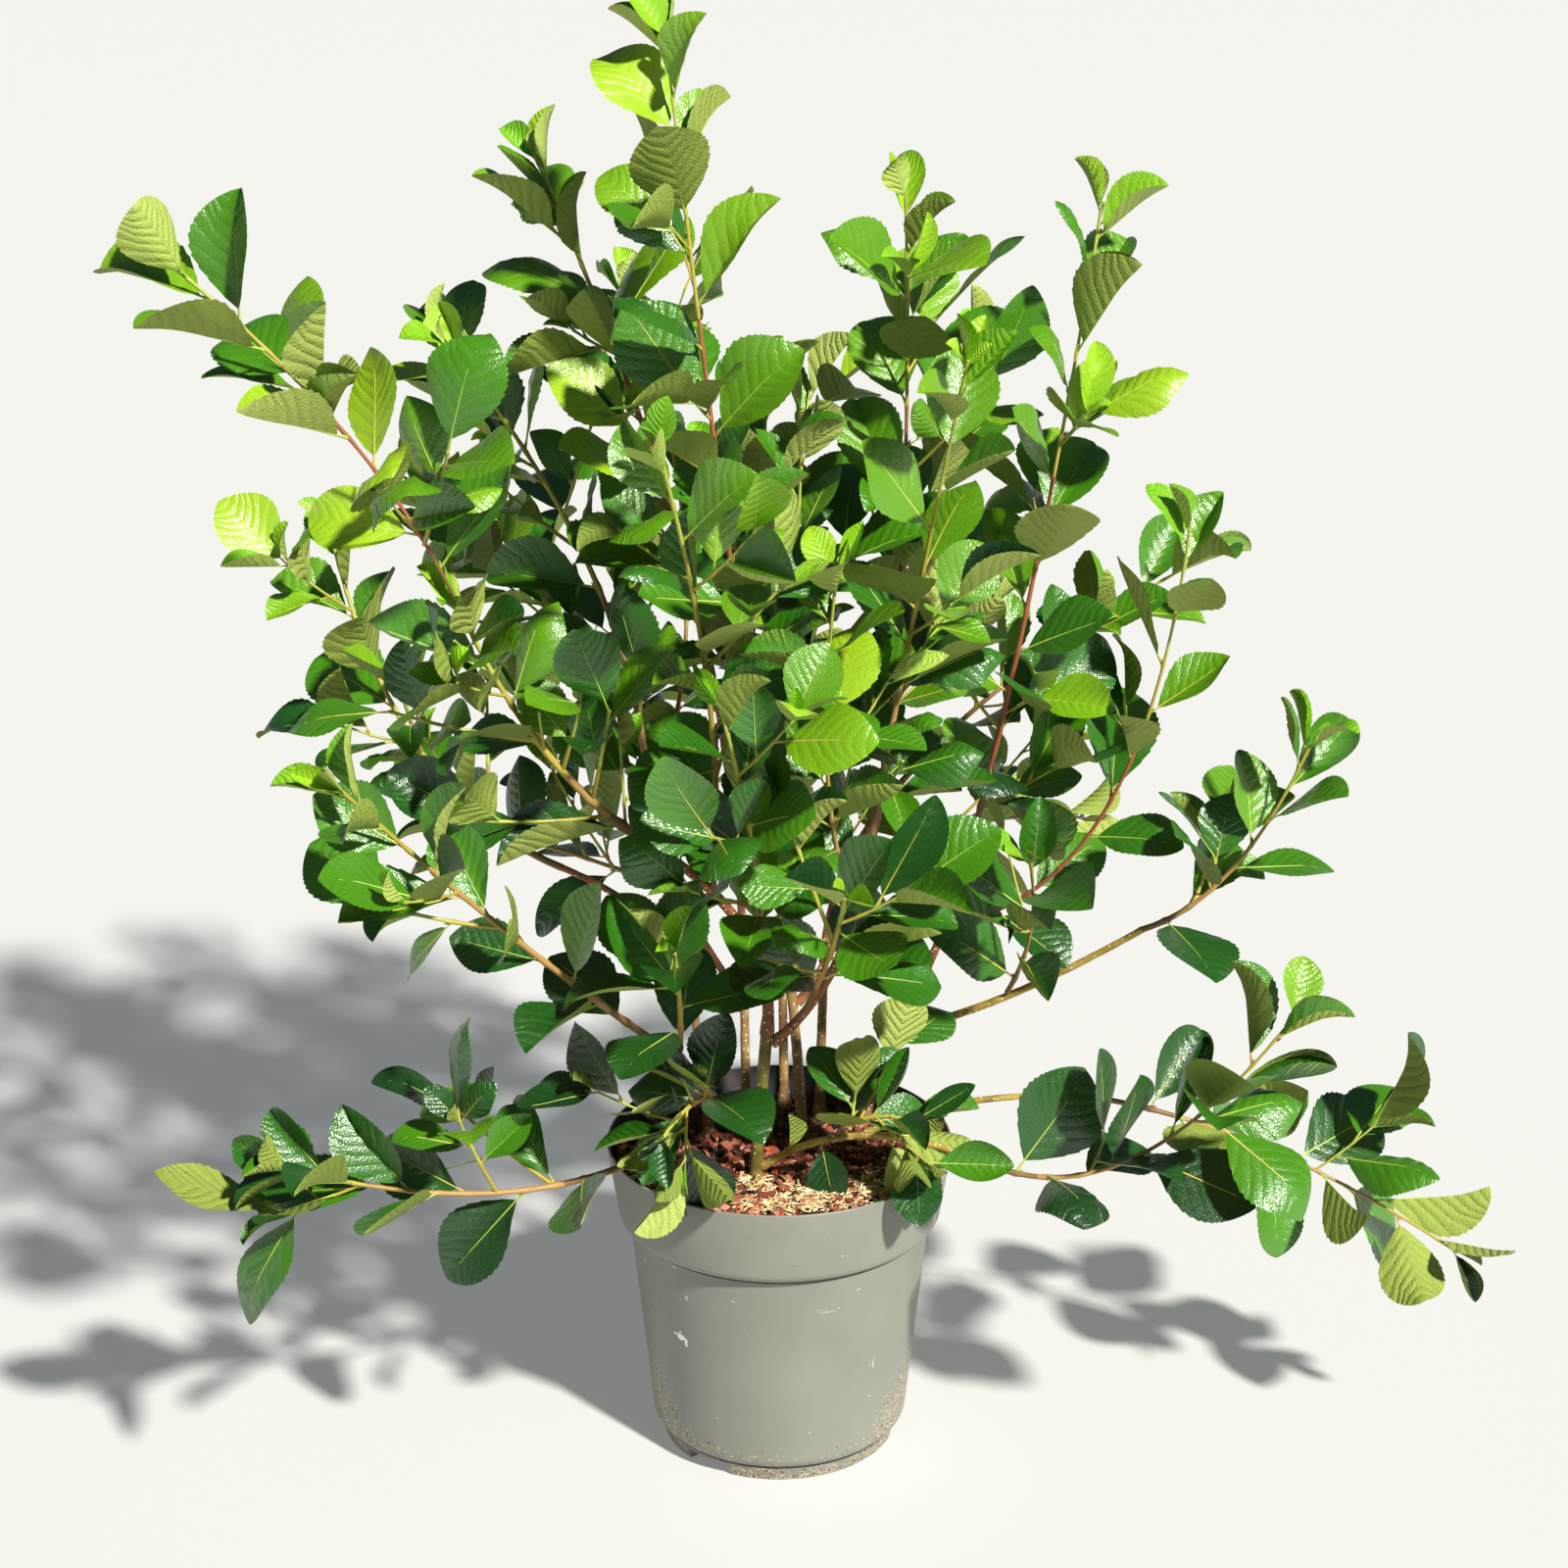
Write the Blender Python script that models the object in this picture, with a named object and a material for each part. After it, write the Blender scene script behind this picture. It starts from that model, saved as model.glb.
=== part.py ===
"""Black chokeberry shrub in a round plastic nursery container.

Metres, +Z up. The origin is the centre of the container's flat underside, and the
shrub is seen from the front along +Y, with +X on its right.
"""

import math
import random

import bmesh
import bpy
from mathutils import Quaternion, Vector
from mathutils.bvhtree import BVHTree

# Driving dimensions of the container
RIM_RADIUS = 0.150
RIM_TOP = 0.280
BAND_FOOT_RADIUS = 0.1415
BAND_FOOT = 0.220
SHOULDER_RADIUS = 0.1312
SHOULDER = 0.210
BODY_FOOT_RADIUS = 0.1126
BODY_FOOT = 0.026
CORNER_RADIUS = 0.013
CORNER_CENTRE = 0.0225
FOOT_RADIUS = 0.1030
FOOT_HEIGHT = 0.009
FLOOR_TOP = 0.013
FLOOR_INSET = 0.0045
WALL_FOOT = 0.030
WALL = 0.0024
LIP = 0.0012
AROUND = 40

# The shoulder under the band: a shallow step, then a slope that ends short of the band
SHOULDER_STEP = 0.0020
SHOULDER_SLOPE = 0.0055
SHOULDER_SHORT = 0.0030

# Gaps between the feet let water out through a drain hole in each: their middles and their width
GAP_MIDDLES = (math.radians(113), math.radians(233), math.radians(353))
GAP_ANGLE = math.radians(26)
GAP_DEPTH = 0.026
DRAIN_RADIUS = 0.006
DRAIN_SIDES = 10
CUT_OVER = 0.002

# Length of the straight runs that stand for a limb's curve, and where its control point lies
RUN = 0.045
CONTROL = 0.45

# Sides of a woody limb, and of a leafy shoot or a twig
LIMB_SIDES = 6
SHOOT_SIDES = 3

# Radius of a leafy shoot at its foot and its tip, and the steps that draw a side limb in
SHOOT_FOOT = 0.0028
SHOOT_TIP = 0.0014
SEATING_STEPS = 14

# Least angle at which a side limb leaves its carrier, and the share of the turn to its tip
FORK = math.radians(42)
FORK_SHARE = 0.75

# Least share of straight up in the first direction of a limb out of the potting mix
RISE = 0.25

# Level of the potting mix, and the clearance between touching pieces
SOIL_TOP = 0.260
CLEAR = 0.0003

# Room that leaves and twigs keep from the rim and the potting mix, and from the inside of the wall
POT_ROOM = 0.006
WALL_ROOM = 0.012

# Root flare at the foot of a stem: extra radius as a share, and its height
FLARE = 0.55
FLARE_HEIGHT = 0.022

# Leaves, as shares of a leaf's whole length with its stalk
LEAF_WIDTH = 0.74
WIDEST = 0.58
LEAF_THICKNESS = 0.024
TURN = math.radians(137.5)

# Leaves open wide at a shoot's foot and less towards its tip, where the last are young and small
FIRST_LEAF = 0.12
LAST_LEAF = 0.985
CROWDING = 1.25
OPEN_AT_FOOT = 66
OPEN_LOST = 34
YOUNG_FROM = 0.62
YOUNG_LOST = 0.48

# The few leaves of a side twig stand near its tip and are smaller, the lowest most of all
TWIG_FIRST_LEAF = 0.45
TWIG_LEAVES = (3, 4, 4)
TWIG_LEAF = 0.86
TWIG_LEAF_LOST = 0.26

# Side twigs: where they stand on the shoot, their direction, lift, thickness and clear room
TWIG_FROM = 0.10
TWIG_SPREAD = 0.52
TWIG_LENGTH = (0.75, 1.35)
TWIG_AHEAD = 0.75
TWIG_UP = 0.15
TWIG_LIFT = 0.12
TWIG_FOOT = 0.0019
TWIG_TIP = 0.0012
TWIG_ROOM = 0.0042
TWIG_TRIES = 6
TWIG_STEP = math.radians(100)

# Leaves may be turned, lifted or made smaller to find room: degrees, degrees, share of the length
TRIES = (
    (0, 0, 1.0),
    (32, 0, 1.0),
    (-32, 0, 1.0),
    (0, 22, 0.9),
    (55, -12, 0.85),
    (-55, 10, 0.8),
    (20, 30, 0.7),
)

# Room round a leaf: its breadth, thickness and tip as shares, and where the room starts
ROOM = 1.12
ROOM_THICKNESS = 3
ROOM_TIP = 0.04
ROOM_START = 0.22

# What the upper side of a leaf turns to: shares of the shoot's direction, up, the light and outwards
UP = Vector((0, 0, 1))
LIGHT = Vector((-0.35, -0.60, 0.72))
FACING_AHEAD = 0.35
FACING_UP = 0.60
FACING_LIGHT = 0.45
FACING_OUT = 0.45

# How much more an upper side turns outwards for each metre from the middle of the plant
AWAY = 2.0

# On a level shoot leaves lose this share of their rise or fall, and lift by this much
LEVELLING = 0.30
LIFTING = 0.30

# Woody limbs: name, what carries it, share of the carrier's length (or the foot's x, y
# on the potting mix), tip x, y, z, arch in metres, radius at the foot and at the tip in mm
LIMBS = (
    ("stem_front", None, (-0.020, -0.055), (-0.010, -0.050, 0.405), 0.0, 6.6, 5.8),
    ("stem_centre", None, (0.020, 0.040), (0.010, 0.050, 0.400), 0.0, 5.6, 4.8),
    ("stem_right", None, (0.075, 0.070), (0.112, 0.095, 0.355), 0.0, 5.6, 4.8),
    ("stem_left", None, (-0.062, 0.045), (-0.078, 0.060, 0.390), 0.0, 5.0, 4.2),
    ("stem_left_back", None, (-0.030, 0.080), (-0.032, 0.100, 0.400), 0.0, 5.0, 4.2),
    ("stem_centre_back", None, (0.036, 0.090), (0.040, 0.115, 0.400), 0.0, 5.2, 4.4),
    ("stem_back", None, (0.004, 0.112), (0.002, 0.165, 0.390), 0.0, 5.0, 4.2),
    ("bough_front_left", "stem_front", 1.0, (-0.107, -0.090, 0.587), 0.0, 5.4, 4.2),
    ("bough_front_right", "stem_front", 0.88, (0.074, -0.060, 0.567), 0.0, 4.8, 3.8),
    ("bough_low_left", "stem_front", 0.30, (-0.100, -0.100, 0.413), 0.0, 4.0, 3.2),
    ("bough_low_right", "stem_front", 0.12, (0.168, -0.100, 0.306), 0.010, 3.8, 3.0),
    ("bough_right_up", "stem_right", 1.0, (0.162, 0.080, 0.505), 0.0, 4.5, 3.6),
    ("bough_right_out", "stem_right", 0.82, (0.312, 0.030, 0.462), -0.012, 4.2, 3.2),
    ("bough_right_low", None, (0.075, 0.045), (0.290, 0.040, 0.296), 0.006, 3.8, 2.9),
    ("bough_left_low", None, (-0.058, -0.034), (-0.137, -0.086, 0.292), 0.004, 3.4, 2.8),
    ("bough_left_up", "stem_left", 1.0, (-0.190, 0.080, 0.500), 0.0, 4.0, 3.2),
    ("bough_left_high", "stem_left", 0.85, (-0.115, 0.050, 0.620), 0.0, 3.9, 3.1),
    ("bough_centre_left", "stem_centre", 1.0, (-0.018, 0.010, 0.640), 0.0, 4.5, 3.5),
    ("bough_centre_right", "stem_centre", 0.86, (0.092, 0.080, 0.600), 0.0, 4.2, 3.3),
    ("bough_centre_high", "stem_left_back", 1.0, (-0.055, 0.085, 0.660), 0.0, 4.0, 3.2),
    ("bough_back_left", "stem_left_back", 0.78, (-0.140, 0.190, 0.570), 0.0, 3.9, 3.1),
    ("bough_back_centre", "stem_back", 1.0, (0.000, 0.240, 0.570), 0.0, 4.0, 3.2),
    ("bough_back_right", "stem_centre_back", 1.0, (0.130, 0.200, 0.560), 0.0, 4.2, 3.3),
)

# Masses of foliage: name, what carries it, share of the carrier's length, tip x, y, z,
# arch in metres, leaves on the main shoot, side twigs, leaf length with its stalk in mm
MASSES = (
    ("foliage_left_rise", "bough_front_left", 1.0, (-0.245, -0.150, 0.800), 0.0, 8, 4, 92),
    ("foliage_left_crest", "foliage_left_rise", 1.0, (-0.452, -0.170, 1.075), 0.0, 12, 2, 98),
    ("foliage_left_reach", "bough_low_left", 1.0, (-0.331, -0.250, 0.690), -0.015, 12, 1, 90),
    ("foliage_left_skirt", "bough_left_low", 1.0, (-0.400, -0.200, 0.350), -0.006, 12, 2, 92),
    ("foliage_left_middle", "bough_left_up", 1.0, (-0.386, 0.150, 0.778), 0.0, 13, 2, 88),
    ("foliage_left_high", "bough_left_high", 1.0, (-0.275, 0.090, 0.960), 0.0, 12, 2, 86),
    ("foliage_top_left", "bough_centre_high", 1.0, (-0.200, 0.110, 1.112), 0.0, 16, 1, 90),
    ("foliage_top", "bough_centre_left", 1.0, (-0.087, -0.020, 1.225), 0.0, 17, 1, 92),
    ("foliage_front_high", "bough_front_left", 0.70, (-0.088, -0.250, 0.955), 0.0, 12, 2, 86),
    ("foliage_front_middle", "bough_front_left", 0.35, (-0.045, -0.215, 0.745), 0.0, 9, 2, 86),
    ("foliage_centre_top", "bough_centre_high", 0.80, (-0.010, 0.190, 0.907), 0.0, 9, 2, 84),
    ("foliage_centre_front", "bough_front_right", 0.75, (0.045, -0.170, 0.840), 0.0, 11, 2, 86),
    ("foliage_centre", "bough_centre_right", 0.60, (0.020, 0.060, 0.890), 0.0, 11, 2, 84),
    ("foliage_top_right", "bough_centre_right", 1.0, (0.103, 0.100, 1.082), 0.0, 14, 1, 90),
    ("foliage_right_front", "bough_front_right", 1.0, (0.142, -0.150, 0.995), -0.010, 13, 2, 88),
    ("foliage_right_crest", "bough_right_up", 1.0, (0.259, 0.050, 1.082), 0.0, 16, 1, 92),
    ("foliage_right_high", "bough_right_up", 0.60, (0.334, 0.000, 0.830), -0.020, 11, 0, 88),
    ("foliage_right_reach", "bough_right_out", 1.0, (0.442, 0.000, 0.640), -0.012, 9, 1, 86),
    ("foliage_right_low", "bough_low_right", 1.0, (0.422, -0.120, 0.448), -0.004, 11, 0, 96),
    ("foliage_right_skirt", "bough_right_low", 1.0, (0.589, -0.040, 0.188), -0.006, 13, 0, 96),
    ("foliage_pot_left", "bough_low_left", 0.45, (-0.095, -0.135, 0.345), 0.0, 5, 0, 76),
    ("foliage_pot_right", "bough_low_right", 0.38, (0.115, -0.085, 0.335), 0.0, 6, 0, 68),
    ("foliage_front_centre", "bough_front_right", 0.22, (0.050, -0.270, 0.610), 0.0, 8, 2, 90),
    ("foliage_front_left", "bough_low_left", 0.80, (-0.082, -0.200, 0.536), 0.0, 6, 0, 90),
    ("foliage_right_inner", "bough_right_out", 0.45, (0.206, -0.060, 0.560), 0.0, 7, 1, 88),
    ("foliage_back_left_low", "bough_back_left", 0.45, (-0.300, 0.260, 0.470), 0.0, 8, 1, 86),
    ("foliage_back_left", "bough_back_left", 1.0, (-0.330, 0.320, 0.780), 0.0, 11, 2, 90),
    ("foliage_back_left_high", "bough_back_left", 0.75, (-0.136, 0.320, 0.967), 0.0, 12, 2, 90),
    ("foliage_back_centre", "bough_back_centre", 1.0, (0.030, 0.380, 0.868), 0.0, 11, 2, 90),
    ("foliage_back_low", "bough_back_centre", 0.50, (0.010, 0.440, 0.500), 0.0, 9, 1, 86),
    ("foliage_back_right_high", "bough_back_right", 0.75, (0.178, 0.290, 0.923), 0.0, 12, 2, 90),
    ("foliage_back_right", "bough_back_right", 1.0, (0.390, 0.270, 0.730), 0.0, 11, 2, 90),
    ("foliage_back_right_low", "bough_back_right", 0.40, (0.290, 0.370, 0.440), 0.0, 9, 1, 86),
)


def clear_scene():
    for item in list(bpy.data.objects):
        bpy.data.objects.remove(item, do_unlink=True)


def material(name, colour, roughness, metallic=0.0):
    made = bpy.data.materials.new(name)
    made.use_nodes = True
    shader = made.node_tree.nodes["Principled BSDF"]
    shader.inputs["Base Color"].default_value = (*colour, 1.0)
    shader.inputs["Roughness"].default_value = roughness
    shader.inputs["Metallic"].default_value = metallic
    return made


def new_object(name, verts, faces, finish):
    mesh = bpy.data.meshes.new(name)
    mesh.from_pydata([tuple(v) for v in verts], [], faces)
    mesh.materials.append(finish)
    made = bpy.data.objects.new(name, mesh)
    bpy.context.scene.collection.objects.link(made)
    return made


def lathe(profile, count):
    """Verts and faces of a closed profile of (radius, height) points turned about Z."""
    verts = []
    rings = []
    for radius, height in profile:
        start = len(verts)
        if radius == 0:
            verts.append(Vector((0, 0, height)))
            rings.append([start] * count)
            continue
        for step in range(count):
            angle = math.tau * step / count
            verts.append(Vector((radius * math.cos(angle), radius * math.sin(angle), height)))
        rings.append(list(range(start, start + count)))
    faces = []
    for lower, upper in zip(rings, rings[1:]):
        for step in range(count):
            after = (step + 1) % count
            corners = (lower[step], lower[after], upper[after], upper[step])
            faces.append(tuple(dict.fromkeys(corners)))
    return verts, faces


def smooth(item, degrees=35):
    item.data.shade_smooth()
    item.data.set_sharp_from_angle(angle=math.radians(degrees))


def body_radius(height):
    """Outer radius of the tapering body below the shoulder."""
    share = (height - BODY_FOOT) / (SHOULDER - BODY_FOOT)
    return BODY_FOOT_RADIUS + share * (SHOULDER_RADIUS - BODY_FOOT_RADIUS)


def band_radius(height):
    """Outer radius of the wide band under the rim."""
    share = (height - BAND_FOOT) / (RIM_TOP - BAND_FOOT)
    return BAND_FOOT_RADIUS + share * (RIM_RADIUS - BAND_FOOT_RADIUS)


def inner_profile(clear):
    """(radius, height) up the inside of the container, drawn in by a clearance."""
    inset = WALL + clear
    return [
        (BODY_FOOT_RADIUS - FLOOR_INSET - inset, FLOOR_TOP + clear),
        (body_radius(WALL_FOOT) - inset, WALL_FOOT),
        (SHOULDER_RADIUS - inset, SHOULDER),
        (BAND_FOOT_RADIUS - inset, BAND_FOOT + WALL),
    ]


def build_container(finish):
    outer = [(0, 0), (FOOT_RADIUS, 0), (FOOT_RADIUS, FOOT_HEIGHT)]
    centre = BODY_FOOT_RADIUS - CORNER_RADIUS
    for degrees in (-75, -50, -25, 0):
        angle = math.radians(degrees)
        radius = centre + CORNER_RADIUS * math.cos(angle)
        outer.append((radius, CORNER_CENTRE + CORNER_RADIUS * math.sin(angle)))
    outer.append((SHOULDER_RADIUS, SHOULDER - SHOULDER_STEP))
    outer.append((SHOULDER_RADIUS + SHOULDER_STEP, SHOULDER))
    outer.append((BAND_FOOT_RADIUS - SHOULDER_SHORT, SHOULDER + SHOULDER_SLOPE))
    outer.append((BAND_FOOT_RADIUS, BAND_FOOT))
    outer.append((RIM_RADIUS - LIP / 2, RIM_TOP - LIP))
    outer.append((RIM_RADIUS - LIP, RIM_TOP))
    inner = [(RIM_RADIUS - WALL + LIP / 3, RIM_TOP), (band_radius(SOIL_TOP) - WALL, SOIL_TOP)]
    inner += reversed(inner_profile(0))
    inner.append((0, FLOOR_TOP))
    pot = new_object("container", *lathe(outer + inner, AROUND), finish)
    for middle in GAP_MIDDLES:
        cut(pot, wedge(middle))
        cut(pot, drain(middle))
    smooth(pot)
    return pot


def cutter(name, verts, faces):
    made = new_object(name, verts, faces, None)
    made.data.materials.clear()
    made.hide_render = True
    made.display_type = "WIRE"
    return made


def wedge(middle):
    """The space between two feet, as a curved block with radial sides."""
    verts = []
    steps = 4
    for height in (-CUT_OVER, FOOT_HEIGHT):
        for radius in (FOOT_RADIUS - GAP_DEPTH, FOOT_RADIUS + 2 * CUT_OVER):
            for step in range(steps + 1):
                angle = middle + GAP_ANGLE * (step / steps - 0.5)
                verts.append(Vector((radius * math.cos(angle), radius * math.sin(angle), height)))
    row = steps + 1
    faces = [(0, row, 3 * row, 2 * row), (steps, 2 * row + steps, 3 * row + steps, row + steps)]
    for step in range(steps):
        inner, outer = step, row + step
        faces.append((inner, inner + 1, outer + 1, outer))
        faces.append((2 * row + inner, 2 * row + outer, 2 * row + outer + 1, 2 * row + inner + 1))
        faces.append((inner, 2 * row + inner, 2 * row + inner + 1, inner + 1))
        faces.append((outer, outer + 1, 2 * row + outer + 1, 2 * row + outer))
    return cutter("foot_gap_cutter", verts, faces)


def drain(middle):
    """A round hole through the floor over a gap between feet."""
    height = FLOOR_TOP + 2 * CUT_OVER
    verts, faces = lathe([(0, 0), (DRAIN_RADIUS, 0), (DRAIN_RADIUS, height), (0, height)], DRAIN_SIDES)
    reach = FOOT_RADIUS - GAP_DEPTH + 2 * DRAIN_RADIUS
    place = Vector((reach * math.cos(middle), reach * math.sin(middle), -CUT_OVER))
    return cutter("drain_cutter", [place + v for v in verts], faces)


def cut(item, tool):
    step = item.modifiers.new("cut", "BOOLEAN")
    step.operation = "DIFFERENCE"
    step.object = tool


def build_potting_mix(finish):
    profile = [(0, FLOOR_TOP + CLEAR), *inner_profile(CLEAR)]
    profile.append((band_radius(SOIL_TOP) - WALL - CLEAR, SOIL_TOP))
    profile.append((0, SOIL_TOP))
    mix = new_object("potting_mix", *lathe(profile, AROUND), finish)
    smooth(mix)
    return mix


class Shoot:
    """One tapering limb or twig: short straight runs along a curve with one control point."""

    def __init__(self, name, foot, lead, tip, arch, thick, thin, sides=SHOOT_SIDES):
        self.name = name
        self.foot = foot
        self.tip = Vector(tip)
        self.lead = lead
        self.length = (self.tip - foot).length
        self.control = foot + lead * self.length * CONTROL + UP * arch * 2
        self.thick = thick
        self.thin = thin
        self.sides = sides
        self.steps = max(2, round(self.length / RUN))

    def curve(self, share):
        rest = 1 - share
        return rest * rest * self.foot + 2 * rest * share * self.control + share * share * self.tip

    def at(self, share):
        step = min(self.steps - 1, int(share * self.steps))
        low = self.curve(step / self.steps)
        high = self.curve((step + 1) / self.steps)
        return low.lerp(high, share * self.steps - step)

    def slope(self, share):
        return ((1 - share) * (self.control - self.foot) + share * (self.tip - self.control)).normalized()

    def radius(self, share):
        return self.thick + (self.thin - self.thick) * share


def tube(shoot, sides, flared=False):
    """Verts and faces of a limb as a closed tube, with the first ring level where it is flared."""
    shares = [step / shoot.steps for step in range(shoot.steps + 1)]
    if flared:
        shares.insert(1, FLARE_HEIGHT / shoot.length)
    verts = []
    side = Vector((0, -1, 0))
    for share in shares:
        ahead = shoot.slope(share) if share else UP if flared else shoot.lead
        side = (side - ahead * side.dot(ahead)).normalized()
        other = ahead.cross(side)
        radius = shoot.radius(share)
        if flared and share == 0:
            radius *= 1 + FLARE
        for corner in range(sides):
            angle = math.tau * corner / sides
            verts.append(shoot.at(share) + radius * (math.cos(angle) * side + math.sin(angle) * other))
    faces = [tuple(reversed(range(sides)))]
    for ring in range(len(shares) - 1):
        low, high = ring * sides, (ring + 1) * sides
        for corner in range(sides):
            after = (corner + 1) % sides
            faces.append((low + corner, low + after, high + after, high + corner))
    faces.append(tuple(range(len(verts) - sides, len(verts))))
    return verts, faces


def on_tip(name, carrier, tip, arch, thin):
    """A limb that grows straight on from its carrier's tip."""
    lead = carrier.slope(1.0)
    return Shoot(name, carrier.tip + lead * CLEAR, lead, tip, arch, carrier.thin, thin)


def on_side(name, carrier, share, tip, arch, thick, thin, sides):
    """A limb off its carrier's side, drawn in along its first direction until it is just clear."""
    root = carrier.at(share)
    slope = carrier.slope(share)
    aim = Vector(tip) - root
    outward = (aim - slope * aim.dot(slope)).normalized()
    fork = max(FORK, FORK_SHARE * aim.angle(slope))
    lead = slope * math.cos(fork) + outward * math.sin(fork)
    bark = BVHTree.FromPolygons(*tube(carrier, carrier.sides))
    reach = 2 * (carrier.radius(share) + thick) / math.sin(fork)
    for _ in range(SEATING_STEPS):
        limb = Shoot(name, root + lead * reach, lead, tip, arch, thick, thin, sides)
        ring = tube(limb, sides)[0][:sides]
        edge = [a.lerp(b, part / 4) for a, b in zip(ring, ring[1:] + ring[:1]) for part in range(4)]
        reach -= min(bark.find_nearest(point)[3] for point in edge) - CLEAR
    return limb


def leaf_solid(leaf, room=1.0, start=0.0):
    """Verts and faces of a leaf: a folded kite with a crest above and below its midrib."""
    along, up = leaf["along"], leaf["up"]
    across = up.cross(along)
    length, foot = leaf["length"], leaf["foot"]
    half = 0.5 * LEAF_WIDTH * length * leaf["breadth"] * room
    thick = 0.5 * LEAF_THICKNESS * length * (ROOM_THICKNESS if room > 1 else 1)
    wide = foot + along * length * WIDEST + up * length * leaf["fold"]
    middle = foot + along * length * WIDEST
    tip = foot + along * length * (1 + ROOM_TIP * (room > 1)) - up * length * leaf["droop"]
    verts = [foot + along * length * start, wide - across * half, tip, wide + across * half]
    verts += [middle + up * thick, middle - up * thick]
    faces = [(0, 1, 4), (1, 2, 4), (2, 3, 4), (3, 0, 4), (1, 0, 5), (2, 1, 5), (3, 2, 5), (0, 3, 5)]
    return verts, faces


class Room:
    """What has been placed so far, so that nothing new is put where something already is."""

    def __init__(self):
        self.taken = []

    def add(self, owner, verts, faces):
        centre = sum(verts, Vector()) / len(verts)
        reach = max((v - centre).length for v in verts)
        self.taken.append((owner, centre, reach, BVHTree.FromPolygons(verts, faces)))

    def free(self, owners, verts, faces):
        """Whether a solid meets nothing placed so far, leaving out what these owners placed."""
        centre = sum(verts, Vector()) / len(verts)
        reach = max((v - centre).length for v in verts)
        tree = None
        for owner, other_centre, other_reach, other in self.taken:
            if owner in owners or (other_centre - centre).length > reach + other_reach:
                continue
            tree = tree or BVHTree.FromPolygons(verts, faces)
            if tree.overlap(other):
                return False
        return True


def over_pot(points):
    """Whether points stay above the container and its potting mix, where they are not beside it."""
    for point in points:
        outward = math.hypot(point.x, point.y)
        beside = outward > RIM_RADIUS + POT_ROOM
        inside = point.z > SOIL_TOP + POT_ROOM and outward < RIM_RADIUS - WALL_ROOM
        if not (point.z > RIM_TOP + POT_ROOM or beside or inside):
            return False
    return True


def turned(vector, axis, angle):
    return Quaternion(axis, angle) @ vector


def leaf_at(shoot, share, turn, open_angle, length, draw):
    """A leaf's place, direction, upper side and shape, on a shoot at a share of its length."""
    ahead = shoot.slope(share)
    level = ahead.cross(UP)
    side = level.normalized() if level.length > 0.1 else Vector((1, 0, 0))
    outward = turned(side, ahead, turn)
    flat = 1 - abs(ahead.z)
    outward = (outward + UP * (LIFTING - outward.z * LEVELLING) * flat).normalized()
    along = (ahead * math.cos(open_angle) + outward * math.sin(open_angle)).normalized()
    outside = Vector((along.x, along.y, 0)) + shoot.at(share) * AWAY
    outside.z = 0
    facing = ahead * FACING_AHEAD + UP * FACING_UP + LIGHT * FACING_LIGHT
    facing += outside.normalized() * FACING_OUT
    up = facing - along * facing.dot(along)
    up = turned(up.normalized(), along, math.radians(draw["roll"]))
    return {
        "foot": shoot.at(share),
        "along": along,
        "up": up,
        "length": length,
        "breadth": draw["breadth"],
        "fold": draw["fold"],
        "droop": draw["droop"],
    }


def leaf_draw(rng):
    """The chance part of one leaf."""
    return {
        "roll": rng.uniform(-24, 24),
        "breadth": rng.uniform(0.86, 1.12),
        "fold": rng.uniform(0.02, 0.14),
        "droop": rng.uniform(-0.02, 0.16),
        "open": rng.uniform(-8, 8),
        "turn": rng.uniform(-14, 14),
        "size": rng.uniform(0.86, 1.08),
    }


def place_leaf(room, shoot, share, turn, open_angle, length, draw):
    """The first try that finds room for a leaf, or None."""
    stalks = shoot.name + "_stalks"
    for twist, lift, size in TRIES:
        leaf = leaf_at(
            shoot, share, turn + math.radians(twist), open_angle + math.radians(lift), length * size, draw
        )
        whole = leaf_solid(leaf)
        outer = leaf_solid(leaf, ROOM, ROOM_START)
        clear_of_others = room.free((shoot.name, stalks), *whole)
        if over_pot(outer[0]) and clear_of_others and room.free((shoot.name,), *outer):
            room.add(stalks, *whole)
            room.add("blade", *outer)
            return leaf
    return None


def leaves_on(room, shoot, first, count, size, rng, rosette=False):
    """Leaves up a shoot by the spiral rule, closer and smaller towards its growing tip."""
    found = []
    turn = rng.uniform(0, math.tau)
    for number in range(count):
        share = number / max(1, count - 1)
        where = first + (LAST_LEAF - first) * (1 - (1 - share) ** CROWDING)
        draw = leaf_draw(rng)
        young = max(0.0, (share - YOUNG_FROM) / (1 - YOUNG_FROM))
        length = size * draw["size"] * (1 - YOUNG_LOST * young * young)
        if rosette:
            length = size * draw["size"] * (1 - TWIG_LEAF_LOST * (1 - share))
        open_angle = math.radians(OPEN_AT_FOOT - OPEN_LOST * share + draw["open"])
        leaf = place_leaf(room, shoot, where, turn + math.radians(draw["turn"]), open_angle, length, draw)
        turn += TURN
        if leaf:
            found.append(leaf)
    return found


def side_twig(room, name, carrier, share, length, turn):
    """A short twig off the main shoot, in the first direction that finds room, or None."""
    for attempt in range(TWIG_TRIES):
        ahead = carrier.slope(share)
        side = ahead.orthogonal().normalized()
        outward = turned(side, ahead, turn + attempt * TWIG_STEP)
        lead = (ahead * TWIG_AHEAD + outward + UP * TWIG_UP).normalized()
        foot = carrier.at(share)
        tip = foot + lead * length + UP * TWIG_LIFT * length
        twig = Shoot(name, foot, lead, tip, 0.0, TWIG_FOOT, TWIG_TIP)
        around = Shoot(name, foot, lead, tip + lead * TWIG_ROOM, 0.0, TWIG_ROOM, TWIG_ROOM)
        solid = tube(around, SHOOT_SIDES)
        if over_pot(solid[0]) and room.free((carrier.name,), *solid):
            room.add(name, *tube(twig, SHOOT_SIDES))
            return twig
    return None


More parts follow.
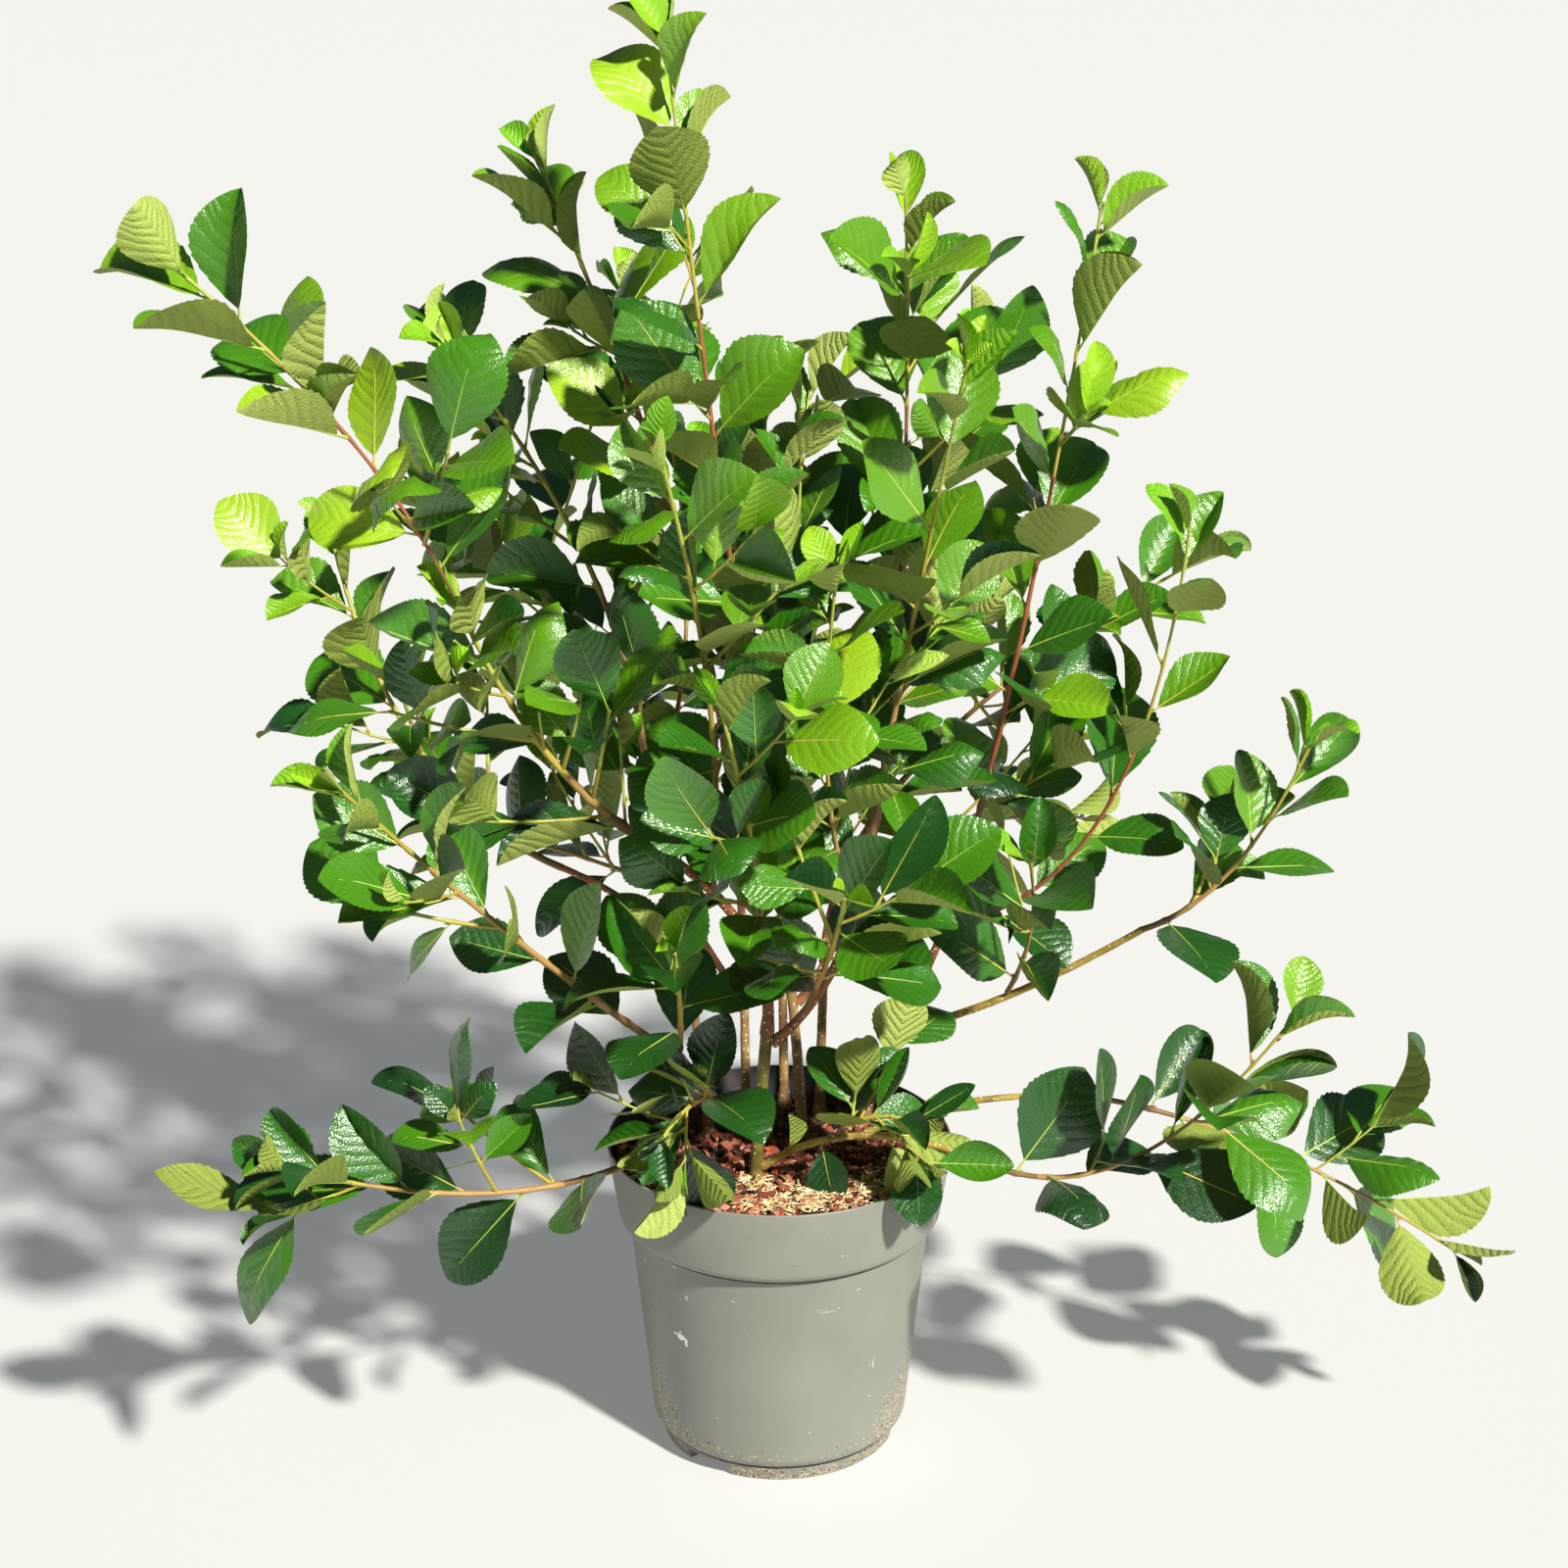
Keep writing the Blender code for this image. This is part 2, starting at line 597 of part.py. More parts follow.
def grow_limbs(room):
    """Every woody limb, by name, from the potting mix to where the foliage starts."""
    limbs = {}
    for name, carrier, share, tip, arch, thick, thin in LIMBS:
        thick, thin = thick / 1000, thin / 1000
        if carrier is None:
            foot = Vector((*share, SOIL_TOP + CLEAR))
            aim = (Vector(tip) - foot).normalized()
            lead = (aim + UP * max(RISE, aim.z * aim.z)).normalized()
            limb = Shoot(name, foot, lead, tip, arch, thick, thin)
        elif share == 1.0:
            limb = on_tip(name, limbs[carrier], tip, arch, thin)
        else:
            limb = on_side(name, limbs[carrier], share, tip, arch, thick, thin, LIMB_SIDES)
        limb.sides = LIMB_SIDES
        limbs[name] = limb
        room.add(name, *tube(limb, LIMB_SIDES))
    return limbs


def grow_masses(room, limbs):
    """The shoots and leaves of each mass of foliage: name, shoots, leaves."""
    mains = {}
    for name, carrier, share, tip, arch, *_ in MASSES:
        on = limbs.get(carrier) or mains[carrier]
        if share == 1.0:
            main = on_tip(name, on, tip, arch, SHOOT_TIP)
        else:
            main = on_side(name, on, share, tip, arch, SHOOT_FOOT, SHOOT_TIP, SHOOT_SIDES)
        mains[name] = main
        room.add(name, *tube(main, SHOOT_SIDES))
    shoots = {}
    for name, *_, twigs, size in MASSES:
        rng = random.Random(name)
        found = []
        for number in range(twigs):
            share = TWIG_FROM + TWIG_SPREAD * (number + rng.uniform(0.1, 0.9)) / twigs
            length = size / 1000 * rng.uniform(*TWIG_LENGTH)
            turn = rng.uniform(0, math.tau)
            found.append(side_twig(room, f"{name}_twig_{number}", mains[name], share, length, turn))
        shoots[name] = [mains[name], *filter(None, found)]
    masses = []
    for name, *_, leaves, _, size in MASSES:
        rng = random.Random(name + " leaves")
        main, *twigs = shoots[name]
        grown = leaves_on(room, main, FIRST_LEAF, leaves, size / 1000, rng)
        for twig in twigs:
            count = rng.choice(TWIG_LEAVES)
            grown += leaves_on(room, twig, TWIG_FIRST_LEAF, count, TWIG_LEAF * size / 1000, rng, True)
        masses.append((name, shoots[name], grown))
    return masses


def closed(mesh):
    work = bmesh.new()
    work.from_mesh(mesh)
    whole = bool(work.faces) and all(len(edge.link_faces) == 2 for edge in work.edges)
    work.free()
    return whole


def joined(name, pieces, finish):
    """One closed solid from overlapping pieces, the first of which is the main shoot."""
    main = new_object(name, *pieces[0], finish)
    group = bpy.data.collections.new(name + "_pieces")
    bpy.context.scene.collection.children.link(group)
    for number, (verts, faces) in enumerate(pieces[1:]):
        piece = new_object(f"{name}_{number}", verts, faces, finish)
        bpy.context.scene.collection.objects.unlink(piece)
        group.objects.link(piece)
    for solver in ("EXACT", "MANIFOLD"):
        step = main.modifiers.new("join", "BOOLEAN")
        step.operation = "UNION"
        step.operand_type = "COLLECTION"
        step.collection = group
        step.solver = solver
        bpy.context.view_layer.update()
        graph = bpy.context.evaluated_depsgraph_get()
        result = bpy.data.meshes.new_from_object(main.evaluated_get(graph))
        main.modifiers.clear()
        if closed(result):
            break
    main.data = result
    for piece in list(group.objects):
        bpy.data.objects.remove(piece, do_unlink=True)
    bpy.data.collections.remove(group)
    return main


def build_limb(limb, finish):
    on_soil = limb.foot.z < SOIL_TOP + 2 * CLEAR
    item = new_object(limb.name, *tube(limb, LIMB_SIDES, on_soil), finish)
    smooth(item, 60)
    return item


def build_mass(name, shoots, leaves, finish):
    pieces = [tube(shoot, SHOOT_SIDES) for shoot in shoots]
    pieces += [leaf_solid(leaf) for leaf in leaves]
    return joined(name, pieces, finish)


def main():
    clear_scene()
    plastic = material("grey_plastic", (0.33, 0.34, 0.28), 0.45)
    mulch = material("bark_mulch", (0.16, 0.06, 0.03), 0.9)
    bark = material("olive_bark", (0.17, 0.12, 0.05), 0.7)
    foliage = material("green_leaf", (0.04, 0.16, 0.02), 0.4)
    build_container(plastic)
    build_potting_mix(mulch)
    room = Room()
    limbs = grow_limbs(room)
    for limb in limbs.values():
        build_limb(limb, bark)
    for name, shoots, leaves in grow_masses(room, limbs):
        build_mass(name, shoots, leaves, foliage)


main()
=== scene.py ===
import math
import random

import bpy
import numpy as np
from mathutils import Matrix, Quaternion, Vector, noise
from mathutils.bvhtree import BVHTree


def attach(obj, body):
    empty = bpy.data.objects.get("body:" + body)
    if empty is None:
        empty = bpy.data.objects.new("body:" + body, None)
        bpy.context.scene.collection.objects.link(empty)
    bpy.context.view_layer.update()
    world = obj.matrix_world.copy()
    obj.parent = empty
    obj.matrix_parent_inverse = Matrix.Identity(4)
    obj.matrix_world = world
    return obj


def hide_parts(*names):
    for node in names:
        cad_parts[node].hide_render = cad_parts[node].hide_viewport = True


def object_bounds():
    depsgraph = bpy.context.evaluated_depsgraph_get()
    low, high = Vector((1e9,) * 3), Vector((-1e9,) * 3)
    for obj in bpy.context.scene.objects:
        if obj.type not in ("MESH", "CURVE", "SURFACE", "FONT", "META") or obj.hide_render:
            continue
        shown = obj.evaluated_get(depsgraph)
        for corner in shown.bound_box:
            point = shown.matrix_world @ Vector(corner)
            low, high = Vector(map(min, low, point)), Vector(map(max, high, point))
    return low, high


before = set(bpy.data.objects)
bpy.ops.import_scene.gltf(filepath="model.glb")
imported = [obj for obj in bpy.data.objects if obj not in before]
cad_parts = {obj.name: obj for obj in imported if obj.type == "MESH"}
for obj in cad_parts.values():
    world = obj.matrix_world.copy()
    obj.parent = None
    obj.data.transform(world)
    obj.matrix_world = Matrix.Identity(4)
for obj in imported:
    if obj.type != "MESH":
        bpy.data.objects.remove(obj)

cad_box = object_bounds()
bpy.ops.object.select_all(action="DESELECT")

# The container is a nursery pot of grey polypropylene, injection moulded in one piece: a thin wall, a wide
# band under a rounded lip, a tapering body, and a foot ring with three drain gaps. It stands on the floor,
# and splashes of potting mix have dried on its foot and its lower edge.
RIM_RADIUS = 0.150
RIM_TOP = 0.280
BAND_FOOT_RADIUS = 0.1415
BAND_FOOT = 0.220
SHOULDER_RADIUS = 0.1312
SHOULDER = 0.210
BODY_FOOT_RADIUS = 0.1126
BODY_FOOT = 0.026
CORNER_RADIUS = 0.013
CORNER_CENTRE = 0.0265
FOOT_RADIUS = 0.1030
FOOT_TOP_RADIUS = 0.1060
FOOT_HEIGHT = 0.0143
FOOT_CREASE = -58
FLOOR_TOP = 0.013
FLOOR_INSET = 0.0045
WALL = 0.0024
LIP = 0.0012
SEAM_DEPTH = 0.0010
SEAM_HEIGHT = 0.0016
SHOULDER_CREASE = -72
ARC_STEPS = 8
AROUND = 128
SMOOTH_ANGLE = math.radians(32)
GAP_MIDDLES = (math.radians(113), math.radians(233), math.radians(353))
GAP_ANGLE = math.radians(26)
GAP_DEPTH = 0.026
GAP_TOP = 0.0112
DRAIN_RADIUS = 0.006


def linear(code):
    """A colour given as an sRGB hex value, turned to the linear numbers that a shader works in."""
    parts = [int(code[place:place + 2], 16) / 255 for place in (1, 3, 5)]
    return (*(p / 12.92 if p <= 0.04045 else ((p + 0.055) / 1.055) ** 2.4 for p in parts), 1.0)


def finish_of(name, colour, roughness, ior=1.5):
    """A new material with one shader, set for a finish of one colour."""
    made = bpy.data.materials.new(name)
    made.use_nodes = True
    shader = made.node_tree.nodes["Principled BSDF"]
    shader.inputs["Base Color"].default_value = linear(colour)
    shader.inputs["Roughness"].default_value = roughness
    shader.inputs["IOR"].default_value = ior
    return made


def socket_of(value):
    """A node's first output, or the value itself where it is no node."""
    return value.outputs[0] if isinstance(value, bpy.types.Node) else value


def add(material, kind, inputs=(), stops=(), **settings):
    """Adds a node. An input that is a node or a socket is linked, and any other is set as a value. Only a
    ramp has stops, as {position: hex value}."""
    tree = material.node_tree
    made = tree.nodes.new("ShaderNode" + kind)
    for key, value in settings.items():
        setattr(made, key, value)
    for key, value in dict(inputs).items():
        value = socket_of(value)
        if isinstance(value, bpy.types.NodeSocket):
            tree.links.new(value, made.inputs[key])
        else:
            made.inputs[key].default_value = value
    for position in sorted(stops)[1:-1]:
        made.color_ramp.elements.new(position)
    for number, position in enumerate(sorted(stops)):
        made.color_ramp.elements[number].position = position
        made.color_ramp.elements[number].color = linear(stops[position])
    return made


def into_shader(material, **outputs):
    """Links nodes or sockets to the material's shader, whose sockets are named with _ for a space."""
    shader = material.node_tree.nodes["Principled BSDF"]
    for name, output in outputs.items():
        material.node_tree.links.new(socket_of(output), shader.inputs[name.replace("_", " ")])


def select_only(item):
    bpy.ops.object.select_all(action="DESELECT")
    item.select_set(True)
    bpy.context.view_layer.objects.active = item


def arc(centre, radius, start, end, steps):
    """Points of a round stretch of a profile, from one angle in degrees to another."""
    angles = [math.radians(start + (end - start) * step / steps) for step in range(steps + 1)]
    return [(centre[0] + radius * math.cos(a), centre[1] + radius * math.sin(a)) for a in angles]


def drawn_out(name, profile, around):
    """A round piece: a disc at the profile's first (radius, height), drawn out ring by ring to its last."""
    bpy.ops.object.select_all(action="DESELECT")
    radius, height = profile[0]
    bpy.ops.mesh.primitive_circle_add(
        vertices=around, radius=radius, fill_type="NGON", location=(0, 0, height)
    )
    item = bpy.context.object
    item.name = name
    bpy.ops.object.transform_apply(location=True, rotation=True, scale=True)
    bpy.ops.object.mode_set(mode="EDIT")
    bpy.ops.mesh.select_all(action="SELECT")
    for next_radius, next_height in profile[1:]:
        bpy.ops.mesh.extrude_region_move(TRANSFORM_OT_translate={"value": (0, 0, next_height - height)})
        scale = next_radius / radius
        bpy.ops.transform.resize(value=(scale, scale, 1), center_override=(0, 0, next_height))
        radius, height = next_radius, next_height
    bpy.ops.mesh.select_all(action="SELECT")
    bpy.ops.mesh.normals_make_consistent(inside=False)
    bpy.ops.object.mode_set(mode="OBJECT")
    return item


def band_radius(height):
    """Outer radius of the wide band under the rim."""
    share = (height - BAND_FOOT) / (RIM_TOP - BAND_FOOT)
    return BAND_FOOT_RADIUS + share * (RIM_RADIUS - BAND_FOOT_RADIUS)


pot_profile = [(FOOT_RADIUS - LIP, 0), (FOOT_RADIUS, LIP), (FOOT_TOP_RADIUS, FOOT_HEIGHT)]
corner_middle = (BODY_FOOT_RADIUS - CORNER_RADIUS, CORNER_CENTRE)
pot_profile += arc(corner_middle, CORNER_RADIUS, FOOT_CREASE, 0, ARC_STEPS)
pot_profile += [
    (SHOULDER_RADIUS, SHOULDER - 2 * SEAM_HEIGHT),
    (SHOULDER_RADIUS - SEAM_DEPTH, SHOULDER - 1.8 * SEAM_HEIGHT),
    (SHOULDER_RADIUS - SEAM_DEPTH, SHOULDER - 0.8 * SEAM_HEIGHT),
    (SHOULDER_RADIUS + 2 * SEAM_DEPTH, SHOULDER - 0.2 * SEAM_HEIGHT),
]
shoulder_turn = BAND_FOOT - SHOULDER
crease_middle = (BAND_FOOT_RADIUS - shoulder_turn, BAND_FOOT)
pot_profile += arc(crease_middle, shoulder_turn, SHOULDER_CREASE, 0, ARC_STEPS)
pot_profile += arc((RIM_RADIUS - LIP, RIM_TOP - LIP), LIP, 0, 180, ARC_STEPS)
pot_profile += [
    (BAND_FOOT_RADIUS - WALL, BAND_FOOT + WALL),
    (SHOULDER_RADIUS - WALL, SHOULDER),
    (BODY_FOOT_RADIUS - WALL, BODY_FOOT),
    (BODY_FOOT_RADIUS - FLOOR_INSET - WALL, FLOOR_TOP),
]
container = drawn_out("container_body", pot_profile, AROUND)

gap_cutters = []
for middle in GAP_MIDDLES:
    outward = Vector((math.cos(middle), math.sin(middle), 0))
    reach = FOOT_RADIUS - GAP_DEPTH
    bpy.ops.object.select_all(action="DESELECT")
    bpy.ops.mesh.primitive_cube_add(size=1, location=outward * (reach + GAP_DEPTH), rotation=(0, 0, middle))
    gap = bpy.context.object
    gap.scale = (2 * GAP_DEPTH, 2 * (reach + 2 * GAP_DEPTH) * math.sin(GAP_ANGLE / 2), 2 * GAP_TOP)
    bpy.ops.object.transform_apply(location=True, rotation=True, scale=True)
    inner_corners = [v for v in gap.data.vertices if v.co.dot(outward) < reach + GAP_DEPTH]
    side = Vector((-outward.y, outward.x, 0))
    for corner in inner_corners:
        corner.co -= side * corner.co.dot(side) * (1 - reach / (reach + 2 * GAP_DEPTH))
    gap_cutters.append(gap)
    bpy.ops.object.select_all(action="DESELECT")
    bpy.ops.mesh.primitive_cylinder_add(
        vertices=24, radius=DRAIN_RADIUS, depth=4 * FLOOR_TOP, location=outward * (reach + 2 * DRAIN_RADIUS)
    )
    drain = bpy.context.object
    bpy.ops.object.transform_apply(location=True, rotation=True, scale=True)
    gap_cutters.append(drain)

for cutter in gap_cutters:
    select_only(container)
    cut = container.modifiers.new("drain_gap", "BOOLEAN")
    cut.operation = "DIFFERENCE"
    cut.object = cutter
    bpy.ops.object.modifier_apply(modifier=cut.name)
    bpy.data.objects.remove(cutter, do_unlink=True)
bpy.ops.object.shade_smooth_by_angle(angle=SMOOTH_ANGLE)

# Injection-moulded polypropylene, satin and faintly mottled: the eye sees a soft sheen, a few pale marks of
# handling, dried drops, and a crust of peat specks that thins out upwards from the foot.
MOTTLE = 0.0714
grey_plastic = finish_of("moulded_polypropylene", "#8c8d81", 0.42, 1.49)
place = add(grey_plastic, "TexCoord").outputs["Object"]
place_parts = add(grey_plastic, "SeparateXYZ", {"Vector": place})
height = place_parts.outputs["Z"]
mottling = add(grey_plastic, "TexNoise", {"Vector": place, "Scale": 1 / MOTTLE, "Detail": 4.0})
coat = add(grey_plastic, "ValToRGB", {"Fac": mottling}, {0.35: "#7e7f75", 0.70: "#86877d"})


def specks(material, where, spacing, reach, rarity, seed):
    """A mask of small specks, one to a cell of the given spacing, kept only where chance exceeds rarity."""
    moved = add(material, "Mapping", {"Vector": where, "Location": (seed, 2 * seed, 3 * seed)})
    cells = add(material, "TexVoronoi", {"Vector": moved, "Scale": 1 / spacing})
    near = add(material, "Math", {0: cells, 1: reach}, operation="LESS_THAN")
    chance = add(material, "SeparateColor", {"Color": cells.outputs["Color"]})
    kept = add(material, "Math", {0: chance, 1: rarity}, operation="GREATER_THAN")
    return add(material, "Math", {0: near, 1: kept}, operation="MULTIPLY")


def spot(material, where, centre, reach):
    """A mask that is 1 inside an ellipsoid round a point, with the given half sizes."""
    away = add(material, "VectorMath", {0: where, 1: centre}, operation="SUBTRACT")
    scaled = add(material, "VectorMath", {0: away, 1: reach}, operation="DIVIDE")
    far = add(material, "VectorMath", {0: scaled}, operation="LENGTH")
    return add(material, "Math", {0: far.outputs["Value"], 1: 1.0}, operation="LESS_THAN")


# Single marks of use, in mm: place, half sizes and colour of a dropping, drops, scratches and specks
MARKS = (
    ((-84.0, -90.0, 133.5), (4.4, 4.4, 3.0), "#f4f4e6"),
    ((-88.0, -86.2, 135.0), (4.0, 4.0, 1.2), "#e6e6d8"),
    ((-80.0, -93.8, 130.0), (1.8, 1.8, 4.6), "#ecece0"),
    ((-84.5, -89.8, 138.0), (1.2, 1.2, 2.6), "#ecece0"),
    ((-79.0, -101.0, 177.0), (1.6, 1.6, 2.4), "#b9baac"),
    ((-89.0, -96.0, 204.0), (1.5, 1.5, 1.8), "#c2c3b6"),
    ((-116.0, -57.0, 190.0), (1.4, 1.4, 1.6), "#c2c3b6"),
    ((-39.0, -123.5, 186.0), (1.0, 1.0, 1.0), "#c6c7ba"),
    ((67.0, -111.0, 191.0), (2.2, 2.2, 0.5), "#cacbbd"),
    ((41.0, -121.0, 175.0), (8.0, 8.0, 0.5), "#a9aa9c"),
    ((36.0, -122.0, 177.5), (6.0, 6.0, 0.3), "#a4a597"),
    ((81.0, -90.0, 108.0), (0.7, 0.7, 7.0), "#c6c7b9"),
    ((-26.0, -146.0, 257.0), (4.8, 4.8, 1.8), "#7b7c73"),
    ((12.0, -143.0, 230.0), (1.4, 1.4, 1.2), "#74756c"),
    ((108.5, -97.6, 250.0), (0.7, 0.7, 12.0), "#77786f"),
    ((56.0, -107.0, 96.0), (1.1, 1.1, 1.1), "#3d3c36"),
    ((-109.0, -60.0, 148.0), (1.2, 1.2, 1.2), "#3d3c36"),
)
RAG = 0.002
RAG_REACH = 0.0024
rags = add(grey_plastic, "TexNoise", {"Vector": place, "Scale": 1 / RAG, "Detail": 2.0})
both_ways = add(
    grey_plastic, "VectorMath", {0: rags.outputs["Color"], 1: (0.5, 0.5, 0.5)}, operation="SUBTRACT"
)
rag_step = add(grey_plastic, "VectorMath", {0: both_ways, "Scale": RAG_REACH}, operation="SCALE")
ragged = add(grey_plastic, "VectorMath", {0: place, 1: rag_step}, operation="ADD")
for centre, reach, colour in MARKS:
    mark = spot(grey_plastic, ragged, Vector(centre) / 1000, Vector(reach) / 1000)
    coat = add(grey_plastic, "MixRGB", {"Fac": mark, "Color1": coat, "Color2": linear(colour)})
dots = specks(grey_plastic, place, 0.013, 0.055, 0.62, 0.31)
coat = add(grey_plastic, "MixRGB", {"Fac": dots, "Color1": coat, "Color2": linear("#c8c8ba")})

# A fine pale line rings the foot, a painted highlight along the edge above it, and the mud reaches higher
# at the sides, where the pot stood in the wet
HIGHLIGHT_HALF = 0.0009
MUD_SIDE = 0.070
MUD_EDGE = 0.114
MUD_RISE = 0.066
MUD_PATCH = 0.0385
MUD_UNEVEN = 0.022
MUD_HEIGHT = 0.034
# Painted highlight: a pale ring at the height of the foot's top edge
foot_highlight = add(grey_plastic, "Math", {0: height, 1: FOOT_HEIGHT, 2: HIGHLIGHT_HALF}, operation="COMPARE")
coat = add(grey_plastic, "MixRGB", {"Fac": foot_highlight, "Color1": coat, "Color2": linear("#c6c6b8")})
sideways = add(grey_plastic, "Math", {0: place_parts}, operation="ABSOLUTE")
side_rise = {"Value": sideways, "From Min": MUD_SIDE, "From Max": MUD_EDGE, "To Max": MUD_RISE}
risen = add(grey_plastic, "MapRange", side_rise)
low_height = add(grey_plastic, "Math", {0: height, 1: risen}, operation="SUBTRACT")
patch = add(grey_plastic, "TexNoise", {"Vector": place, "Scale": 1 / MUD_PATCH, "Detail": 3.0})
uneven = add(grey_plastic, "MapRange", {"Value": patch, "To Min": -MUD_UNEVEN, "To Max": MUD_UNEVEN})
mud_level = add(grey_plastic, "Math", {0: low_height, 1: uneven}, operation="ADD")
thinning = add(grey_plastic, "MapRange", {"Value": mud_level, "From Max": MUD_HEIGHT, "To Min": 0.20})
brown_mud = specks(grey_plastic, place, 0.0031, 0.33, thinning, 0.37)
light_mud = specks(grey_plastic, place, 0.0023, 0.38, thinning, 0.17)
dark_mud = specks(grey_plastic, place, 0.0046, 0.26, thinning, 0.53)
for mud, colour in ((brown_mud, "#94744f"), (light_mud, "#cdb68c"), (dark_mud, "#4f3d2e")):
    coat = add(grey_plastic, "MixRGB", {"Fac": mud, "Color1": coat, "Color2": linear(colour)})

# The moulded skin is faintly grained, duller in patches, and the mud stands up from it
SKIN_GRAIN = 0.00238
SKIN_DEPTH = 0.0004
sheen_range = {"Value": mottling, "From Min": 0.3, "From Max": 0.7, "To Min": 0.38, "To Max": 0.50}
sheen = add(grey_plastic, "MapRange", sheen_range)
skin = add(grey_plastic, "TexNoise", {"Vector": place, "Scale": 1 / SKIN_GRAIN, "Detail": 2.0})
skin_bump = add(grey_plastic, "Bump", {"Height": skin, "Strength": 0.10, "Distance": SKIN_DEPTH})
mud_height = add(grey_plastic, "Math", {0: light_mud, 1: brown_mud}, operation="ADD")
mud_relief = {"Height": mud_height, "Strength": 0.5, "Distance": SKIN_DEPTH, "Normal": skin_bump}
into_shader(grey_plastic, Base_Color=coat, Roughness=sheen, Normal=add(grey_plastic, "Bump", mud_relief))

# The inside of the wall above the floor gets a near-black finish, dusty from the mix.
DUST = 0.0167
dark_inner_finish = finish_of("black_inner_polypropylene", "#20262b", 0.5, 1.49)
place = add(dark_inner_finish, "TexCoord").outputs["Object"]
dust = add(dark_inner_finish, "TexNoise", {"Vector": place, "Scale": 1 / DUST, "Detail": 5.0})
dusty = add(dark_inner_finish, "ValToRGB", {"Fac": dust}, {0.45: "#1b2127", 0.80: "#4a4238"})
into_shader(dark_inner_finish, Base_Color=dusty)

container.data.materials.append(grey_plastic)
container.data.materials.append(dark_inner_finish)
for face in container.data.polygons:
    outward = Vector((face.center.x, face.center.y, 0))
    inner_side = face.normal.dot(outward.normalized()) < -0.5
    face.material_index = int(inner_side and face.center.z > FLOOR_TOP)
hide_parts("container")
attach(container, "root")

# The potting mix is damp peat under a mulch of chipped bark and pale wood fibre, tipped in by hand: it is
# heaped towards the front of the pot and lies lower at the back, where the dark inner wall shows.
MIX_LEVEL = 0.2625
MIX_SLOPE = 0.075
MIX_RINGS = 26
MIX_CLEARANCE = 0.0006
LUMP = 0.0028
LUMPS_PER_METRE = 60
CLODS_PER_METRE = 170


def mound(x, y):
    """Height of the potting mix at a place in the pot."""
    lumps = noise.noise(Vector((x * LUMPS_PER_METRE, y * LUMPS_PER_METRE, 0.5)))
    clods = noise.noise(Vector((x * CLODS_PER_METRE, y * CLODS_PER_METRE, 1.5)))
    return MIX_LEVEL - MIX_SLOPE * y + LUMP * (lumps + 0.5 * clods)


mix_edge = band_radius(MIX_LEVEL) - WALL - MIX_CLEARANCE
mix_profile = [
    (BODY_FOOT_RADIUS - FLOOR_INSET - WALL - MIX_CLEARANCE, FLOOR_TOP + MIX_CLEARANCE),
    (SHOULDER_RADIUS - WALL - MIX_CLEARANCE, SHOULDER),
    (BAND_FOOT_RADIUS - WALL - MIX_CLEARANCE, BAND_FOOT + WALL),
    (mix_edge - 0.0016, MIX_LEVEL - 0.012),
]
mix_profile += [(mix_edge * (1 - ring / MIX_RINGS), MIX_LEVEL) for ring in range(MIX_RINGS)]
potting_mix = drawn_out("potting_mix_body", mix_profile, 96)
for vertex in potting_mix.data.vertices:
    if vertex.co.z > MIX_LEVEL - 0.001:
        vertex.co.z = mound(vertex.co.x, vertex.co.y)
potting_mix.data.shade_smooth()

# Damp peat: fine dark crumbs that the light hardly brightens.
CRUMB = 0.00263
peat = finish_of("damp_peat", "#2b1a12", 0.95)
place = add(peat, "TexCoord").outputs["Object"]
crumbs = add(peat, "TexNoise", {"Vector": place, "Scale": 1 / CRUMB, "Detail": 6.0, "Roughness": 0.7})
crumb_bump = add(peat, "Bump", {"Height": crumbs, "Strength": 0.9, "Distance": 0.002})
crumb_tones = add(peat, "ValToRGB", {"Fac": crumbs}, {0.38: "#150c09", 0.72: "#54321f"})
into_shader(peat, Base_Color=crumb_tones, Normal=crumb_bump)
potting_mix.data.materials.append(peat)
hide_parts("potting_mix")
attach(potting_mix, "root")


class Pieces:
    """Many small closed shapes gathered into one mesh, each face with its own finish."""

    def __init__(self):
        self.verts = []
        self.faces = []
        self.finishes = []
        self.places = []

    def gather(self, verts, faces, finish, places=()):
        """Adds a shape, with one finish or one for each face, and perhaps a UV place for each corner."""
        start = len(self.verts)
        self.verts.extend(map(tuple, verts))
        self.faces.extend(tuple(start + corner for corner in face) for face in faces)
        self.finishes.extend(finish if isinstance(finish, list) else [finish] * len(faces))
        self.places.extend(places)

    def joined(self, name, materials, sharp=None):
        """One object of all that was gathered, smooth up to the sharp angle in degrees, or flat."""
        mesh = bpy.data.meshes.new(name)
        mesh.from_pydata(self.verts, [], self.faces)
        for material in materials:
            mesh.materials.append(material)
        mesh.polygons.foreach_set("material_index", self.finishes)
        if self.places:
            mesh.uv_layers.new(name="blade").data.foreach_set("uv", self.places)
        if sharp:
            mesh.shade_smooth()
            mesh.set_sharp_from_angle(angle=math.radians(sharp))
        made = bpy.data.objects.new(name, mesh)
        bpy.context.scene.collection.objects.link(made)
        return made


def grained(material, grain, detail, strength, depth):
    """Gives a surface fine relief by a noise pattern, with grains and a depth in metres."""
    place = add(material, "TexCoord").outputs["Object"]
    grains = add(material, "TexNoise", {"Vector": place, "Scale": 1 / grain, "Detail": detail})
    relief = add(material, "Bump", {"Height": grains, "Strength": strength, "Distance": depth})
    into_shader(material, Normal=relief)
